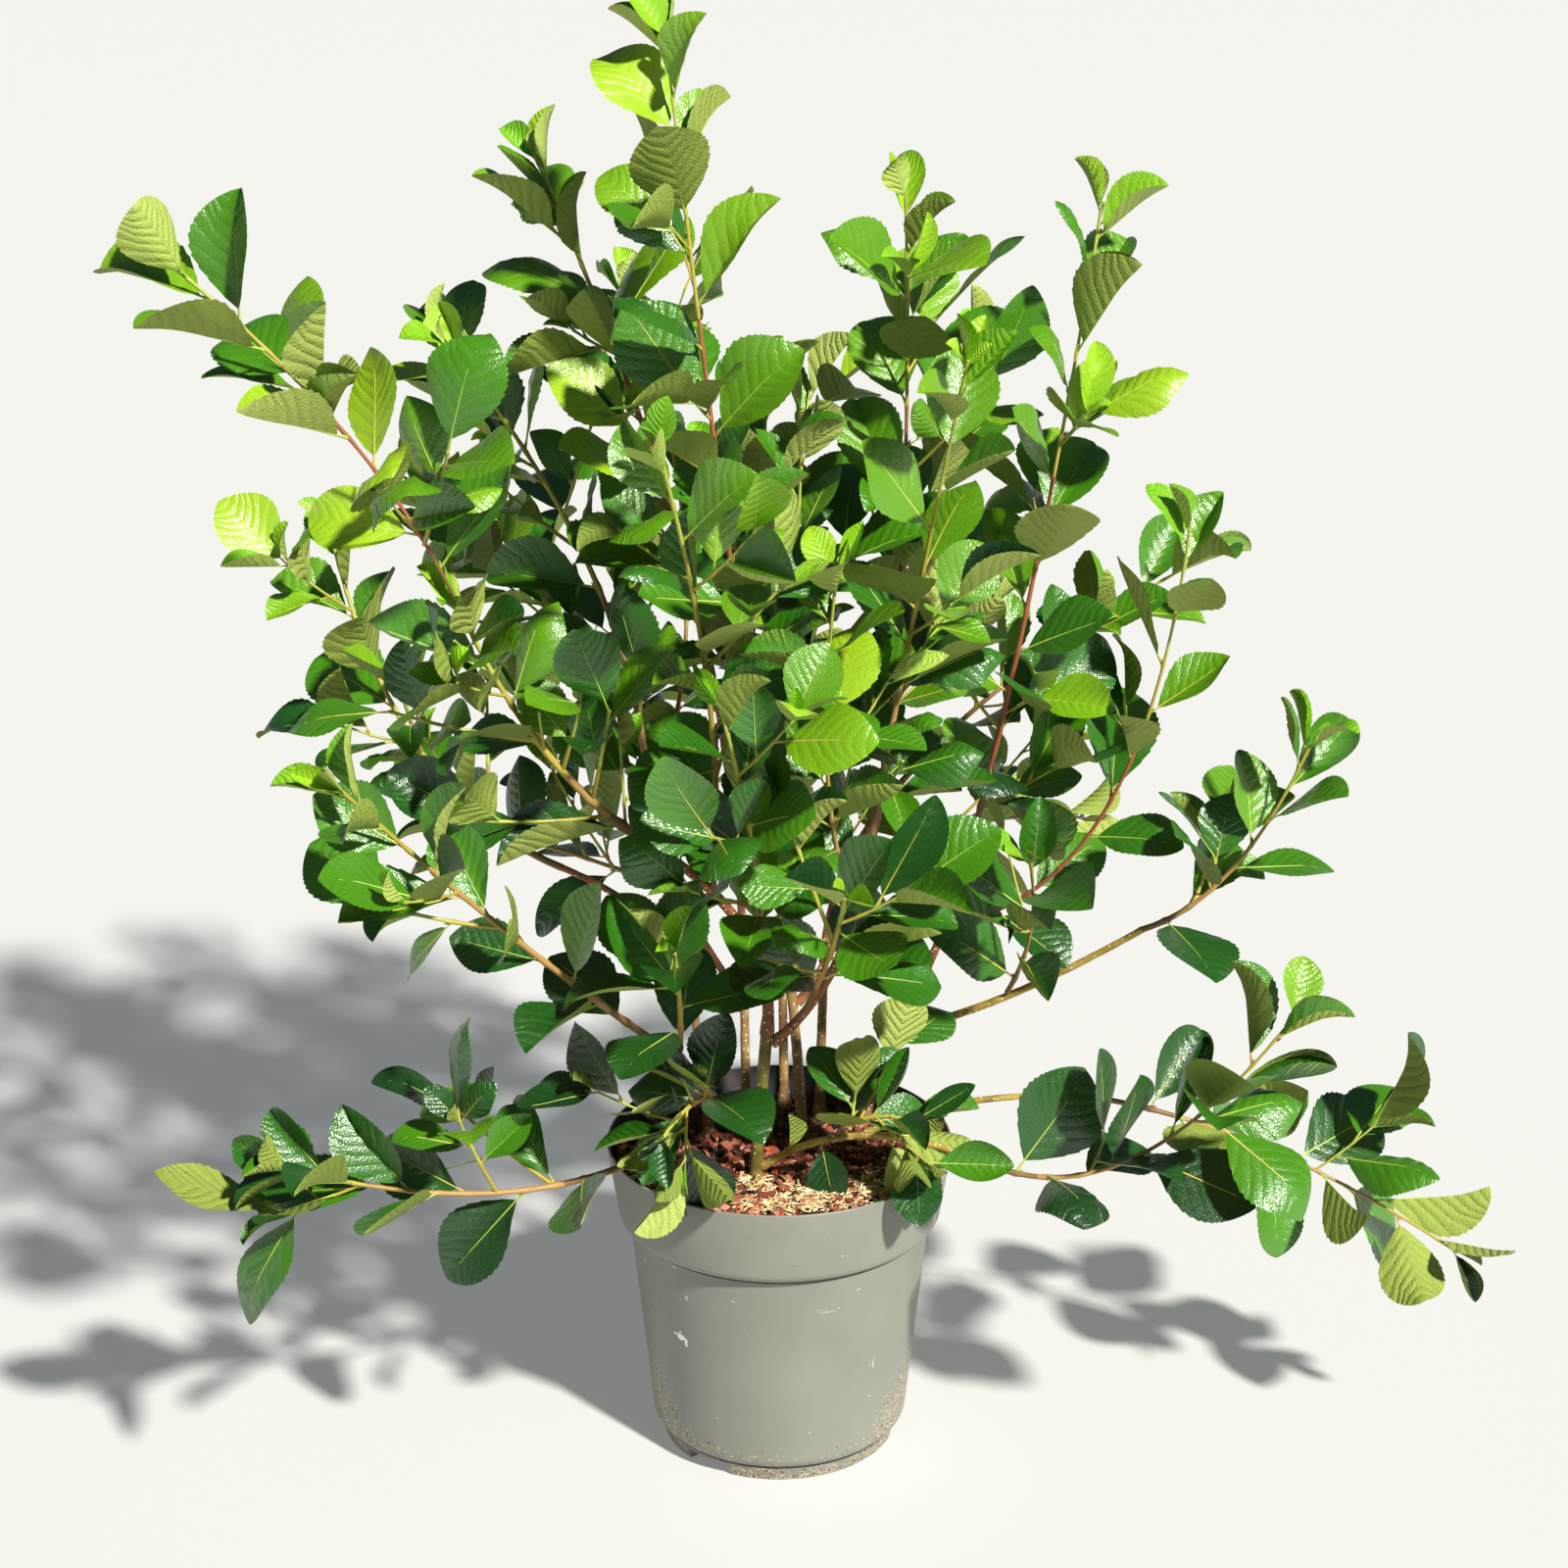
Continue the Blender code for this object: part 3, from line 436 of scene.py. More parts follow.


# Chipped bark of pine, with its torn faces and fibres: matt, brick red to dark brown, a few chips orange,
# and only the dark ones at the back, as painted shade where the crown shades the mix.
BARK_CHIPS = 2600
CHIP_LONG = (0.0018, 0.0075, 0.0026)
CHIP_WIDE = (0.45, 0.80)
CHIP_THICK = (0.18, 0.42)
CHIP_TILT = 0.75
CHIP_GRAIN = 0.00111
# Dark tones dealt to the back of the mix as painted shade, and the range of y where that starts
PAINTED_SHADE_CHIPS = (3, 6, 4)
PAINTED_SHADE_FROM = (0.0, 0.09)
chip_colours = ("#a65f48", "#8a4734", "#c38468", "#55281c", "#6f3727", "#cc5c2c", "#26140e")
chip_shares = (22, 24, 13, 13, 15, 2, 11)
chip_finishes = []
for number, colour in enumerate(chip_colours):
    chip_finish = finish_of(f"bark_chip_{number}", colour, 0.6)
    grained(chip_finish, CHIP_GRAIN, 4.0, 0.7, 0.0008)
    chip_finishes.append(chip_finish)

CHIP_CORNERS = [Vector((x, y, z)) for x in (-1, 1) for y in (-1, 1) for z in (-1, 1)]
CHIP_FACES = [(0, 1, 3, 2), (4, 6, 7, 5), (0, 4, 5, 1), (2, 3, 7, 6), (0, 2, 6, 4), (1, 5, 7, 3)]


def in_pot(rng, margin):
    """A chance place on the potting mix, at least a margin from the wall."""
    reach = (mix_edge - margin) * math.sqrt(rng.random())
    turn = rng.uniform(0, math.tau)
    return reach * math.cos(turn), reach * math.sin(turn)


chips = Pieces()
rng = random.Random("bark chips")
for number in range(BARK_CHIPS):
    long_side = rng.triangular(*CHIP_LONG)
    x, y = in_pot(rng, long_side)
    size = long_side * Vector((1, rng.uniform(*CHIP_WIDE), rng.uniform(*CHIP_THICK)))
    tilt = Quaternion((rng.uniform(-1, 1), rng.uniform(-1, 1), 0), rng.gauss(0, CHIP_TILT))
    turn = Quaternion((0, 0, 1), rng.uniform(0, math.tau))
    middle = Vector((x, y, mound(x, y) + size.z * rng.uniform(-0.4, 1.5)))
    corners = []
    for corner in CHIP_CORNERS:
        uneven = Vector([part * scale * rng.uniform(0.55, 1.0) for part, scale in zip(corner, size)])
        corners.append(middle + tilt @ turn @ uneven)
    tone = rng.choices(range(len(chip_colours)), chip_shares)[0]
    # Painted shade: chips towards the back get only the dark tones
    if y > rng.uniform(*PAINTED_SHADE_FROM):
        tone = rng.choice(PAINTED_SHADE_CHIPS)
    chips.gather(corners, CHIP_FACES, tone)
bark_chips = chips.joined("bark_chips", chip_finishes)
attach(bark_chips, "root")

# Shredded wood fibre: pale curled slivers, lying in drifts among the chips at the front.
FIBRES = 1500
FIBRE_RUNS = 5
FIBRE_LENGTH = (0.004, 0.014)
FIBRE_WIDTH = (0.0004, 0.0013)
FIBRE_LIFT = (0.0006, 0.0045)
FIBRE_CURL = 0.5
FIBRE_RISE = 0.12
FIBRE_SHARES = (40, 25, 25, 10)
WALL_GAP = 0.008
STRAND = 0.00083
fibre_finishes = [
    finish_of(f"wood_fibre_{number}", colour, 0.85)
    for number, colour in enumerate(("#decb98", "#c6aa74", "#ece0b8", "#aa8456"))
]
for fibre_finish in fibre_finishes:
    grained(fibre_finish, STRAND, 3.0, 0.4, 0.0004)

# Middles of the drifts, and how far each spreads, in mm
FIBRE_DRIFTS = (
    ((-10, -118), 16.25),
    ((22, -112), 12.5),
    ((58, -104), 15.0),
    ((82, -82), 13.75),
    ((104, -56), 15.0),
    ((-68, -100), 16.25),
    ((30, -80), 10.0),
    ((-104, -52), 15.0),
    ((-20, -70), 10.0),
    ((120, -28), 11.25),
)
fibres = Pieces()
rng = random.Random("wood fibre")
for number in range(FIBRES):
    (drift_x, drift_y), spread = rng.choice(FIBRE_DRIFTS)
    x, y = rng.gauss(drift_x, spread) / 1000, rng.gauss(drift_y, spread) / 1000
    if math.hypot(x, y) > mix_edge - WALL_GAP:
        continue
    length = rng.uniform(*FIBRE_LENGTH)
    width = rng.uniform(*FIBRE_WIDTH)
    heading = rng.uniform(0, math.tau)
    bend = rng.gauss(0, FIBRE_CURL)
    rise = rng.gauss(0, FIBRE_RISE)
    point = Vector((x, y, mound(x, y) + rng.uniform(*FIBRE_LIFT)))
    verts = []
    for run in range(FIBRE_RUNS + 1):
        ahead = Vector((math.cos(heading), math.sin(heading), rise))
        across = Vector((-ahead.y, ahead.x, rng.gauss(0, 0.2)))
        thin = width * (0.35 + 0.65 * math.sin(math.pi * (run + 0.5) / (FIBRE_RUNS + 1)))
        verts += [point - across * thin, point + across * thin, point + Vector((0, 0, thin * 0.8))]
        point = point + ahead * length / FIBRE_RUNS
        heading += bend
    faces = [(2, 1, 0), tuple(range(3 * FIBRE_RUNS, 3 * FIBRE_RUNS + 3))]
    for run in range(FIBRE_RUNS):
        for corner in range(3):
            after = (corner + 1) % 3
            faces.append((3 * run + corner, 3 * run + after, 3 * run + 3 + after, 3 * run + 3 + corner))
    if all(math.hypot(v.x, v.y) < mix_edge for v in verts):
        fibres.gather(verts, faces, rng.choices(range(len(FIBRE_SHARES)), FIBRE_SHARES)[0])
wood_fibre = fibres.joined("wood_fibre", fibre_finishes)
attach(wood_fibre, "root")

# The stems and boughs are living wood with smooth young bark. Each grew from a bud, so it leaves its
# carrier at a fork, tapers along a curve, and ends where its first leafy shoot goes on. The solids were
# grown by the same rule, so each limb, shoot and leaf stands where theirs does.

# Length of the straight runs that stand for a limb's curve, and where its control point lies
RUN = 0.045
CONTROL = 0.45

# Sides of a woody limb, and of a leafy shoot or a twig, in the solids
LIMB_SIDES = 6
SHOOT_SIDES = 3

# Radius of a leafy shoot at its foot and its tip, and the steps that draw a side limb in
SHOOT_FOOT = 0.0028
SHOOT_TIP = 0.0014
SEATING_STEPS = 14

# Least angle at which a side limb leaves its carrier, and the share of the turn to its tip
FORK = math.radians(42)
FORK_SHARE = 0.75

# Least share of straight up in the first direction of a limb out of the potting mix
RISE = 0.25

# Level of the potting mix in the solids, and the clearance between touching pieces
SOIL_TOP = 0.260
CLEAR = 0.0003
UP = Vector((0, 0, 1))

# Woody limbs: name, what carries it, share of the carrier's length (or the foot's x, y
# on the potting mix), tip x, y, z, arch in metres, radius at the foot and at the tip in mm
LIMBS = (
    ("stem_front", None, (-0.020, -0.055), (-0.010, -0.050, 0.405), 0.0, 6.6, 5.8),
    ("stem_centre", None, (0.020, 0.040), (0.010, 0.050, 0.400), 0.0, 5.6, 4.8),
    ("stem_right", None, (0.075, 0.070), (0.112, 0.095, 0.355), 0.0, 5.6, 4.8),
    ("stem_left", None, (-0.062, 0.045), (-0.078, 0.060, 0.390), 0.0, 5.0, 4.2),
    ("stem_left_back", None, (-0.030, 0.080), (-0.032, 0.100, 0.400), 0.0, 5.0, 4.2),
    ("stem_centre_back", None, (0.036, 0.090), (0.040, 0.115, 0.400), 0.0, 5.2, 4.4),
    ("stem_back", None, (0.004, 0.112), (0.002, 0.165, 0.390), 0.0, 5.0, 4.2),
    ("bough_front_left", "stem_front", 1.0, (-0.107, -0.090, 0.587), 0.0, 5.4, 4.2),
    ("bough_front_right", "stem_front", 0.88, (0.074, -0.060, 0.567), 0.0, 4.8, 3.8),
    ("bough_low_left", "stem_front", 0.30, (-0.100, -0.100, 0.413), 0.0, 4.0, 3.2),
    ("bough_low_right", "stem_front", 0.12, (0.168, -0.100, 0.306), 0.010, 3.8, 3.0),
    ("bough_right_up", "stem_right", 1.0, (0.162, 0.080, 0.505), 0.0, 4.5, 3.6),
    ("bough_right_out", "stem_right", 0.82, (0.312, 0.030, 0.462), -0.012, 4.2, 3.2),
    ("bough_right_low", None, (0.075, 0.045), (0.290, 0.040, 0.296), 0.006, 3.8, 2.9),
    ("bough_left_low", None, (-0.058, -0.034), (-0.137, -0.086, 0.292), 0.004, 3.4, 2.8),
    ("bough_left_up", "stem_left", 1.0, (-0.190, 0.080, 0.500), 0.0, 4.0, 3.2),
    ("bough_left_high", "stem_left", 0.85, (-0.115, 0.050, 0.620), 0.0, 3.9, 3.1),
    ("bough_centre_left", "stem_centre", 1.0, (-0.018, 0.010, 0.640), 0.0, 4.5, 3.5),
    ("bough_centre_right", "stem_centre", 0.86, (0.092, 0.080, 0.600), 0.0, 4.2, 3.3),
    ("bough_centre_high", "stem_left_back", 1.0, (-0.055, 0.085, 0.660), 0.0, 4.0, 3.2),
    ("bough_back_left", "stem_left_back", 0.78, (-0.140, 0.190, 0.570), 0.0, 3.9, 3.1),
    ("bough_back_centre", "stem_back", 1.0, (0.000, 0.240, 0.570), 0.0, 4.0, 3.2),
    ("bough_back_right", "stem_centre_back", 1.0, (0.130, 0.200, 0.560), 0.0, 4.2, 3.3),
)


class Shoot:
    """One tapering limb or twig: short straight runs along a curve with one control point."""

    def __init__(self, name, foot, lead, tip, arch, thick, thin, sides=SHOOT_SIDES):
        self.name = name
        self.foot = foot
        self.tip = Vector(tip)
        self.lead = lead
        self.length = (self.tip - foot).length
        self.control = foot + lead * self.length * CONTROL + UP * arch * 2
        self.thick = thick
        self.thin = thin
        self.sides = sides
        self.steps = max(2, round(self.length / RUN))

    def curve(self, share):
        rest = 1 - share
        return rest * rest * self.foot + 2 * rest * share * self.control + share * share * self.tip

    def at(self, share):
        step = min(self.steps - 1, int(share * self.steps))
        low = self.curve(step / self.steps)
        high = self.curve((step + 1) / self.steps)
        return low.lerp(high, share * self.steps - step)

    def slope(self, share):
        return ((1 - share) * (self.control - self.foot) + share * (self.tip - self.control)).normalized()

    def radius(self, share):
        return self.thick + (self.thin - self.thick) * share


def ringed(centres, aheads, radii, sides):
    """Verts and faces of a closed tube through rings at these places, of these directions and radii."""
    verts = []
    side = Vector((0, -1, 0))
    for centre, ahead, radius in zip(centres, aheads, radii):
        side = (side - ahead * side.dot(ahead)).normalized()
        other = ahead.cross(side)
        for corner in range(sides):
            angle = math.tau * corner / sides
            verts.append(centre + radius * (math.cos(angle) * side + math.sin(angle) * other))
    faces = [tuple(reversed(range(sides)))]
    for ring in range(len(centres) - 1):
        low, high = ring * sides, (ring + 1) * sides
        for corner in range(sides):
            after = (corner + 1) % sides
            faces.append((low + corner, low + after, high + after, high + corner))
    faces.append(tuple(range(len(verts) - sides, len(verts))))
    return verts, faces


def tube(shoot, sides):
    """A limb as its solid has it, in straight runs."""
    shares = [step / shoot.steps for step in range(shoot.steps + 1)]
    centres = [shoot.at(share) for share in shares]
    aheads = [shoot.slope(share) if share else shoot.lead for share in shares]
    return ringed(centres, aheads, [shoot.radius(share) for share in shares], sides)


def on_tip(name, carrier, tip, arch, thin):
    """A limb that grows straight on from its carrier's tip."""
    lead = carrier.slope(1.0)
    return Shoot(name, carrier.tip + lead * CLEAR, lead, tip, arch, carrier.thin, thin)


def on_side(name, carrier, share, tip, arch, thick, thin, sides):
    """A limb off its carrier's side, drawn in along its first direction until it is just clear."""
    root = carrier.at(share)
    slope = carrier.slope(share)
    aim = Vector(tip) - root
    outward = (aim - slope * aim.dot(slope)).normalized()
    fork = max(FORK, FORK_SHARE * aim.angle(slope))
    lead = slope * math.cos(fork) + outward * math.sin(fork)
    bark = BVHTree.FromPolygons(*tube(carrier, carrier.sides))
    reach = 2 * (carrier.radius(share) + thick) / math.sin(fork)
    for _ in range(SEATING_STEPS):
        limb = Shoot(name, root + lead * reach, lead, tip, arch, thick, thin, sides)
        ring = tube(limb, sides)[0][:sides]
        edge = [a.lerp(b, part / 4) for a, b in zip(ring, ring[1:] + ring[:1]) for part in range(4)]
        reach -= min(bark.find_nearest(point)[3] for point in edge) - CLEAR
    return limb


class Room:
    """What has been placed so far, so that nothing new is put where something already is."""

    def __init__(self):
        self.taken = []

    def add(self, owner, verts, faces):
        centre = sum(verts, Vector()) / len(verts)
        reach = max((v - centre).length for v in verts)
        self.taken.append((owner, centre, reach, BVHTree.FromPolygons(verts, faces)))

    def free(self, owners, verts, faces):
        """Whether a solid meets nothing placed so far, leaving out what these owners placed."""
        centre = sum(verts, Vector()) / len(verts)
        reach = max((v - centre).length for v in verts)
        tree = None
        for owner, other_centre, other_reach, other in self.taken:
            if owner in owners or (other_centre - centre).length > reach + other_reach:
                continue
            tree = tree or BVHTree.FromPolygons(verts, faces)
            if tree.overlap(other):
                return False
        return True


def grow_limbs(room):
    """Every woody limb, by name, from the potting mix to where the foliage starts."""
    limbs = {}
    for name, carrier, share, tip, arch, thick, thin in LIMBS:
        thick, thin = thick / 1000, thin / 1000
        if carrier is None:
            foot = Vector((*share, SOIL_TOP + CLEAR))
            aim = (Vector(tip) - foot).normalized()
            lead = (aim + UP * max(RISE, aim.z * aim.z)).normalized()
            limb = Shoot(name, foot, lead, tip, arch, thick, thin)
        elif share == 1.0:
            limb = on_tip(name, limbs[carrier], tip, arch, thin)
        else:
            limb = on_side(name, limbs[carrier], share, tip, arch, thick, thin, LIMB_SIDES)
        limb.sides = LIMB_SIDES
        limbs[name] = limb
        room.add(name, *tube(limb, LIMB_SIDES))
    return limbs


room = Room()
limbs = grow_limbs(room)

# Young bark, grown rather than made: smooth skin over the wood, olive on the front stem, red brown on the
# boughs and tan on the low ones in full light, faintly ridged and dotted with pale raised pores.
BARK_TONES = {
    "olive_bark": ("#4c4119", "#74682a", "#948640"),
    "brown_bark": ("#5a4222", "#86683a", "#a5854e"),
    "red_brown_bark": ("#5d3520", "#8a5434", "#a06a40"),
    "tan_bark": ("#6d5a1f", "#9c8336", "#b89c4a"),
}
BLOTCH = 0.0182
RIDGE = 0.0021
PORE_SPACING = 0.0036
bark_finishes = {}
for bark_name, (dark, middle, light) in BARK_TONES.items():
    finish = finish_of(bark_name, middle, 0.6)
    place = add(finish, "TexCoord").outputs["Object"]
    blotching = {"Vector": place, "Scale": 1 / BLOTCH, "Detail": 5.0, "Roughness": 0.6}
    blotches = add(finish, "TexNoise", blotching)
    tones = add(finish, "ValToRGB", {"Fac": blotches}, {0.30: dark, 0.48: middle, 0.72: light})
    pores = specks(finish, place, PORE_SPACING, 0.23, 0.30, 0.71)
    ridges = add(finish, "TexNoise", {"Vector": place, "Scale": 1 / RIDGE, "Detail": 4.0})
    ridged = add(finish, "Bump", {"Height": ridges, "Strength": 0.35, "Distance": 0.0006})
    pore_relief = {"Height": pores, "Strength": 0.7, "Distance": 0.0005, "Normal": ridged}
    pored = add(finish, "MixRGB", {"Fac": pores, "Color1": tones, "Color2": linear("#eee2b8")})
    into_shader(finish, Base_Color=pored, Normal=add(finish, "Bump", pore_relief))
    bark_finishes[bark_name] = finish

# The bark's fineness, how much slimmer than the solid it is, and how deep a stem's foot goes into the mix
BARK_SIDES = 16
BARK_RING = 0.003
SLIM = 0.88
SUNK = 0.018

# Swelling at a stem's foot, round a bough's foot and at the knuckle where the leafy shoot goes on
FLARE = 0.55
FLARE_HEIGHT = 0.022
COLLAR = 0.22
COLLAR_LENGTH = 0.012
END_SWELL = 0.10

# Depth and width of the bark's relief
RELIEF = 0.0007
bark_grain = bpy.data.textures.new("bark_grain", "CLOUDS")
bark_grain.noise_scale = 0.007
bark_grain.noise_depth = 3


def bark_of(limb):
    """A limb's bark: a fine tube with a flare or a collar at its foot, a knuckle at its end, and relief."""
    rings = max(4, round(limb.length / BARK_RING))
    shares = [step / rings for step in range(rings + 1)]
    from_mix = limb.foot.z < SOIL_TOP + 2 * CLEAR
    centres = [limb.curve(share) for share in shares]
    aheads = [limb.slope(share) for share in shares]
    foot_swell, foot_length, power = (FLARE, FLARE_HEIGHT, 2) if from_mix else (COLLAR, COLLAR_LENGTH, 1)
    radii = []
    for share in shares:
        along = share * limb.length
        swell = foot_swell * max(0.0, 1 - along / foot_length) ** power
        swell += END_SWELL * max(0.0, 1 - (limb.length - along) / COLLAR_LENGTH)
        radii.append(limb.radius(share) * SLIM * (1 + swell))
    aheads.insert(0, UP if from_mix else limb.lead)
    aheads[1] = aheads[0]
    centres.insert(0, limb.foot - aheads[0] * (SUNK if from_mix else limb.thick))
    radii.insert(0, radii[0])
    bark = Pieces()
    bark.gather(*ringed(centres, aheads, radii, BARK_SIDES), 0)
    kind = "brown_bark" if from_mix else "red_brown_bark"
    if limb.name == "stem_front":
        kind = "olive_bark"
    if "low" in limb.name or "out" in limb.name:
        kind = "tan_bark"
    item = bark.joined(limb.name + "_bark", [bark_finishes[kind]], 60)
    select_only(item)
    relief = item.modifiers.new("relief", "DISPLACE")
    relief.texture = bark_grain
    relief.texture_coords = "LOCAL"
    relief.strength = RELIEF
    bpy.ops.object.modifier_apply(modifier=relief.name)
    return item


for name, limb in limbs.items():
    bark = bark_of(limb)
    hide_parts(name)
    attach(bark, "root")

# The foliage is this year's growth: green and reddish shoots that carry the leaves one at a time in a
# spiral, each on a short stalk with a bud in its angle. They end in a tuft of small pale leaves that are
# still opening.
LEAF_WIDTH = 0.74
WIDEST = 0.58
LEAF_THICKNESS = 0.024
TURN = math.radians(137.5)

# Leaves open wide at a shoot's foot and less towards its tip, where the last are young and small
FIRST_LEAF = 0.12
LAST_LEAF = 0.985
CROWDING = 1.25
OPEN_AT_FOOT = 66
OPEN_LOST = 34
YOUNG_FROM = 0.62
YOUNG_LOST = 0.48

# The few leaves of a side twig stand near its tip and are smaller, the lowest most of all
TWIG_FIRST_LEAF = 0.45
TWIG_LEAVES = (3, 4, 4)
TWIG_LEAF = 0.86
TWIG_LEAF_LOST = 0.26

# Side twigs: where they stand on the shoot, their direction, lift, thickness and clear room
TWIG_FROM = 0.10
TWIG_SPREAD = 0.52
TWIG_LENGTH = (0.75, 1.35)
TWIG_AHEAD = 0.75
TWIG_UP = 0.15
TWIG_LIFT = 0.12
TWIG_FOOT = 0.0019
TWIG_TIP = 0.0012
TWIG_ROOM = 0.0042
TWIG_TRIES = 6
TWIG_STEP = math.radians(100)

# Leaves may be turned, lifted or made smaller to find room: degrees, degrees, share of the length
TRIES = (
    (0, 0, 1.0),
    (32, 0, 1.0),
    (-32, 0, 1.0),
    (0, 22, 0.9),
    (55, -12, 0.85),
    (-55, 10, 0.8),
    (20, 30, 0.7),
)

# Room round a leaf: its breadth, thickness and tip as shares, and where the room starts
ROOM = 1.12
ROOM_THICKNESS = 3
ROOM_TIP = 0.04
ROOM_START = 0.22

# Room that leaves and twigs keep from the rim and the potting mix, and from the inside of the wall
POT_ROOM = 0.006
WALL_ROOM = 0.012

# What the upper side of a leaf turns to: shares of the shoot's direction, up, the light and outwards
LIGHT = Vector((-0.35, -0.60, 0.72))
FACING_AHEAD = 0.35
FACING_UP = 0.60
FACING_LIGHT = 0.45
FACING_OUT = 0.45

# How much more an upper side turns outwards for each metre from the middle of the plant
AWAY = 2.0

# On a level shoot leaves lose this share of their rise or fall, and lift by this much
LEVELLING = 0.30
LIFTING = 0.30

# Masses of foliage: name, what carries it, share of the carrier's length, tip x, y, z,
# arch in metres, leaves on the main shoot, side twigs, leaf length with its stalk in mm
MASSES = (
    ("foliage_left_rise", "bough_front_left", 1.0, (-0.245, -0.150, 0.800), 0.0, 8, 4, 92),
    ("foliage_left_crest", "foliage_left_rise", 1.0, (-0.452, -0.170, 1.075), 0.0, 12, 2, 98),
    ("foliage_left_reach", "bough_low_left", 1.0, (-0.331, -0.250, 0.690), -0.015, 12, 1, 90),
    ("foliage_left_skirt", "bough_left_low", 1.0, (-0.400, -0.200, 0.350), -0.006, 12, 2, 92),
    ("foliage_left_middle", "bough_left_up", 1.0, (-0.386, 0.150, 0.778), 0.0, 13, 2, 88),
    ("foliage_left_high", "bough_left_high", 1.0, (-0.275, 0.090, 0.960), 0.0, 12, 2, 86),
    ("foliage_top_left", "bough_centre_high", 1.0, (-0.200, 0.110, 1.112), 0.0, 16, 1, 90),
    ("foliage_top", "bough_centre_left", 1.0, (-0.087, -0.020, 1.225), 0.0, 17, 1, 92),
    ("foliage_front_high", "bough_front_left", 0.70, (-0.088, -0.250, 0.955), 0.0, 12, 2, 86),
    ("foliage_front_middle", "bough_front_left", 0.35, (-0.045, -0.215, 0.745), 0.0, 9, 2, 86),
    ("foliage_centre_top", "bough_centre_high", 0.80, (-0.010, 0.190, 0.907), 0.0, 9, 2, 84),
    ("foliage_centre_front", "bough_front_right", 0.75, (0.045, -0.170, 0.840), 0.0, 11, 2, 86),
    ("foliage_centre", "bough_centre_right", 0.60, (0.020, 0.060, 0.890), 0.0, 11, 2, 84),
    ("foliage_top_right", "bough_centre_right", 1.0, (0.103, 0.100, 1.082), 0.0, 14, 1, 90),
    ("foliage_right_front", "bough_front_right", 1.0, (0.142, -0.150, 0.995), -0.010, 13, 2, 88),
    ("foliage_right_crest", "bough_right_up", 1.0, (0.259, 0.050, 1.082), 0.0, 16, 1, 92),
    ("foliage_right_high", "bough_right_up", 0.60, (0.334, 0.000, 0.830), -0.020, 11, 0, 88),
    ("foliage_right_reach", "bough_right_out", 1.0, (0.442, 0.000, 0.640), -0.012, 9, 1, 86),
    ("foliage_right_low", "bough_low_right", 1.0, (0.422, -0.120, 0.448), -0.004, 11, 0, 96),
    ("foliage_right_skirt", "bough_right_low", 1.0, (0.589, -0.040, 0.188), -0.006, 13, 0, 96),
    ("foliage_pot_left", "bough_low_left", 0.45, (-0.095, -0.135, 0.345), 0.0, 5, 0, 76),
    ("foliage_pot_right", "bough_low_right", 0.38, (0.115, -0.085, 0.335), 0.0, 6, 0, 68),
    ("foliage_front_centre", "bough_front_right", 0.22, (0.050, -0.270, 0.610), 0.0, 8, 2, 90),
    ("foliage_front_left", "bough_low_left", 0.80, (-0.082, -0.200, 0.536), 0.0, 6, 0, 90),
    ("foliage_right_inner", "bough_right_out", 0.45, (0.206, -0.060, 0.560), 0.0, 7, 1, 88),
    ("foliage_back_left_low", "bough_back_left", 0.45, (-0.300, 0.260, 0.470), 0.0, 8, 1, 86),
    ("foliage_back_left", "bough_back_left", 1.0, (-0.330, 0.320, 0.780), 0.0, 11, 2, 90),
    ("foliage_back_left_high", "bough_back_left", 0.75, (-0.136, 0.320, 0.967), 0.0, 12, 2, 90),
    ("foliage_back_centre", "bough_back_centre", 1.0, (0.030, 0.380, 0.868), 0.0, 11, 2, 90),
    ("foliage_back_low", "bough_back_centre", 0.50, (0.010, 0.440, 0.500), 0.0, 9, 1, 86),
    ("foliage_back_right_high", "bough_back_right", 0.75, (0.178, 0.290, 0.923), 0.0, 12, 2, 90),
    ("foliage_back_right", "bough_back_right", 1.0, (0.390, 0.270, 0.730), 0.0, 11, 2, 90),
    ("foliage_back_right_low", "bough_back_right", 0.40, (0.290, 0.370, 0.440), 0.0, 9, 1, 86),
)


def leaf_solid(leaf, room=1.0, start=0.0):
    """Verts and faces of the room a leaf takes: a folded kite with a crest above and below its midrib."""
    along, up = leaf["along"], leaf["up"]
    across = up.cross(along)
    length, foot = leaf["length"], leaf["foot"]
    half = 0.5 * LEAF_WIDTH * length * leaf["breadth"] * room
    thick = 0.5 * LEAF_THICKNESS * length * (ROOM_THICKNESS if room > 1 else 1)
    wide = foot + along * length * WIDEST + up * length * leaf["fold"]
    middle = foot + along * length * WIDEST
    tip = foot + along * length * (1 + ROOM_TIP * (room > 1)) - up * length * leaf["droop"]
    verts = [foot + along * length * start, wide - across * half, tip, wide + across * half]
    verts += [middle + up * thick, middle - up * thick]
    faces = [(0, 1, 4), (1, 2, 4), (2, 3, 4), (3, 0, 4), (1, 0, 5), (2, 1, 5), (3, 2, 5), (0, 3, 5)]
    return verts, faces


def over_pot(points):
    """Whether points stay above the container and its potting mix, where they are not beside it."""
    for point in points:
        outward = math.hypot(point.x, point.y)
        beside = outward > RIM_RADIUS + POT_ROOM
        inside = point.z > SOIL_TOP + POT_ROOM and outward < RIM_RADIUS - WALL_ROOM
        if not (point.z > RIM_TOP + POT_ROOM or beside or inside):
            return False
    return True


def turned(vector, axis, angle):
    return Quaternion(axis, angle) @ vector


